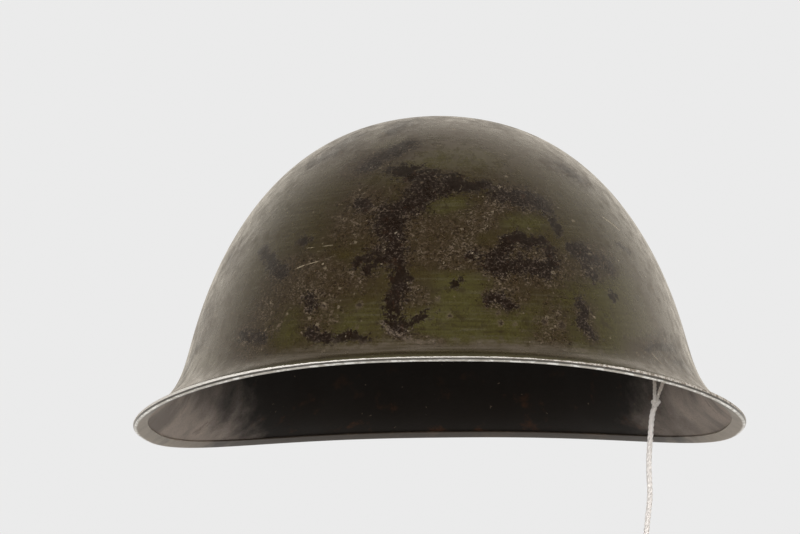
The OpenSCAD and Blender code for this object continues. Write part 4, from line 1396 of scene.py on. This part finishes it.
world = bpy.data.worlds.new("pale_world")
world.use_nodes = True
world.node_tree.nodes.clear()
n = Nodes(world.node_tree)
way = n.add("ShaderNodeTexCoord").outputs["Generated"]
slope = n.vectors("DOT_PRODUCT", way, (0.1, 1, -0.45))
sideways = n.times(n.math("ABSOLUTE", n.parts(way)["X"]), 0.34)
glow = n.fade(n.plus(slope, sideways), -0.45, 0.9, 0.06, 0.95)
world_light = n.add("ShaderNodeBackground", {"Color": (1, 0.92, 0.8), "Strength": glow})
world_seen = n.add("ShaderNodeBackground", {"Color": FAR_TONE, "Strength": 1})
shown = mixed(n, n.add("ShaderNodeLightPath").outputs["Is Camera Ray"], world_light, world_seen)
n.add("ShaderNodeOutputWorld", {"Surface": shown.outputs[0]})
bpy.context.scene.world = world


def soft_lamp(name, place, power, size):
    """A square lamp aimed at the helmet, which gives light but isn't mirrored in it."""
    data = bpy.data.lights.new(name, "AREA")
    data.energy = power
    data.size = size
    lamp = bpy.data.objects.new(name, data)
    bpy.context.scene.collection.objects.link(lamp)
    lamp.location = place
    lamp.rotation_mode = "QUATERNION"
    lamp.rotation_quaternion = (-lamp.location).to_track_quat("-Z", "Y")
    lamp.visible_glossy = False
    lamp.visible_camera = False


soft_lamp("lamp_front", (-0.4, -1.7, 0.45), 11, 1.4)
soft_lamp("lamp_low_left", (0.35, -1.55, -0.14), 22, 0.9)
soft_lamp("lamp_low_right", (-0.3, -1.4, -0.4), 20, 0.9)
soft_lamp("lamp_top", (0.4, 0.2, 1.8), 8, 1.6)

clear_selection()
bpy.ops.mesh.primitive_plane_add(size=8, location=(0, 0, -0.2))
floor = bpy.context.object
floor.name = "pale_floor"
n, place = new_finish("pale_floor")
ray = n.add("ShaderNodeLightPath").outputs
floor_color = n.blend(n.noise(place, 0.05, 3, 0.5), (0.42, 0.42, 0.415), (0.45, 0.45, 0.445))
floor_look = n.add("ShaderNodeBsdfPrincipled", {"Base Color": floor_color, "Roughness": 0.8})
floor_glow = n.add("ShaderNodeEmission", {"Color": (0.8, 0.8, 0.79), "Strength": n.math("MAXIMUM",
    n.times(ray["Is Camera Ray"], 0.58), n.times(ray["Is Glossy Ray"], 0.7))})
floor_near = n.add("ShaderNodeAddShader", {0: floor_look.outputs[0], 1: floor_glow.outputs[0]})
far_seen = n.times(n.fade(n.vectors("LENGTH", place), 350, 1300), ray["Is Camera Ray"])
haze = n.add("ShaderNodeEmission", {"Color": FAR_TONE, "Strength": 1})
from_above = mixed(n, far_seen, floor_near, haze)
floor_shown = mixed(n, n.add("ShaderNodeNewGeometry").outputs["Backfacing"], from_above,
    n.add("ShaderNodeBsdfTransparent"))
n.add("ShaderNodeOutputMaterial", {"Surface": floor_shown.outputs[0]})
floor.data.materials.append(n.material)

bpy.context.scene.view_settings.view_transform = "Standard"
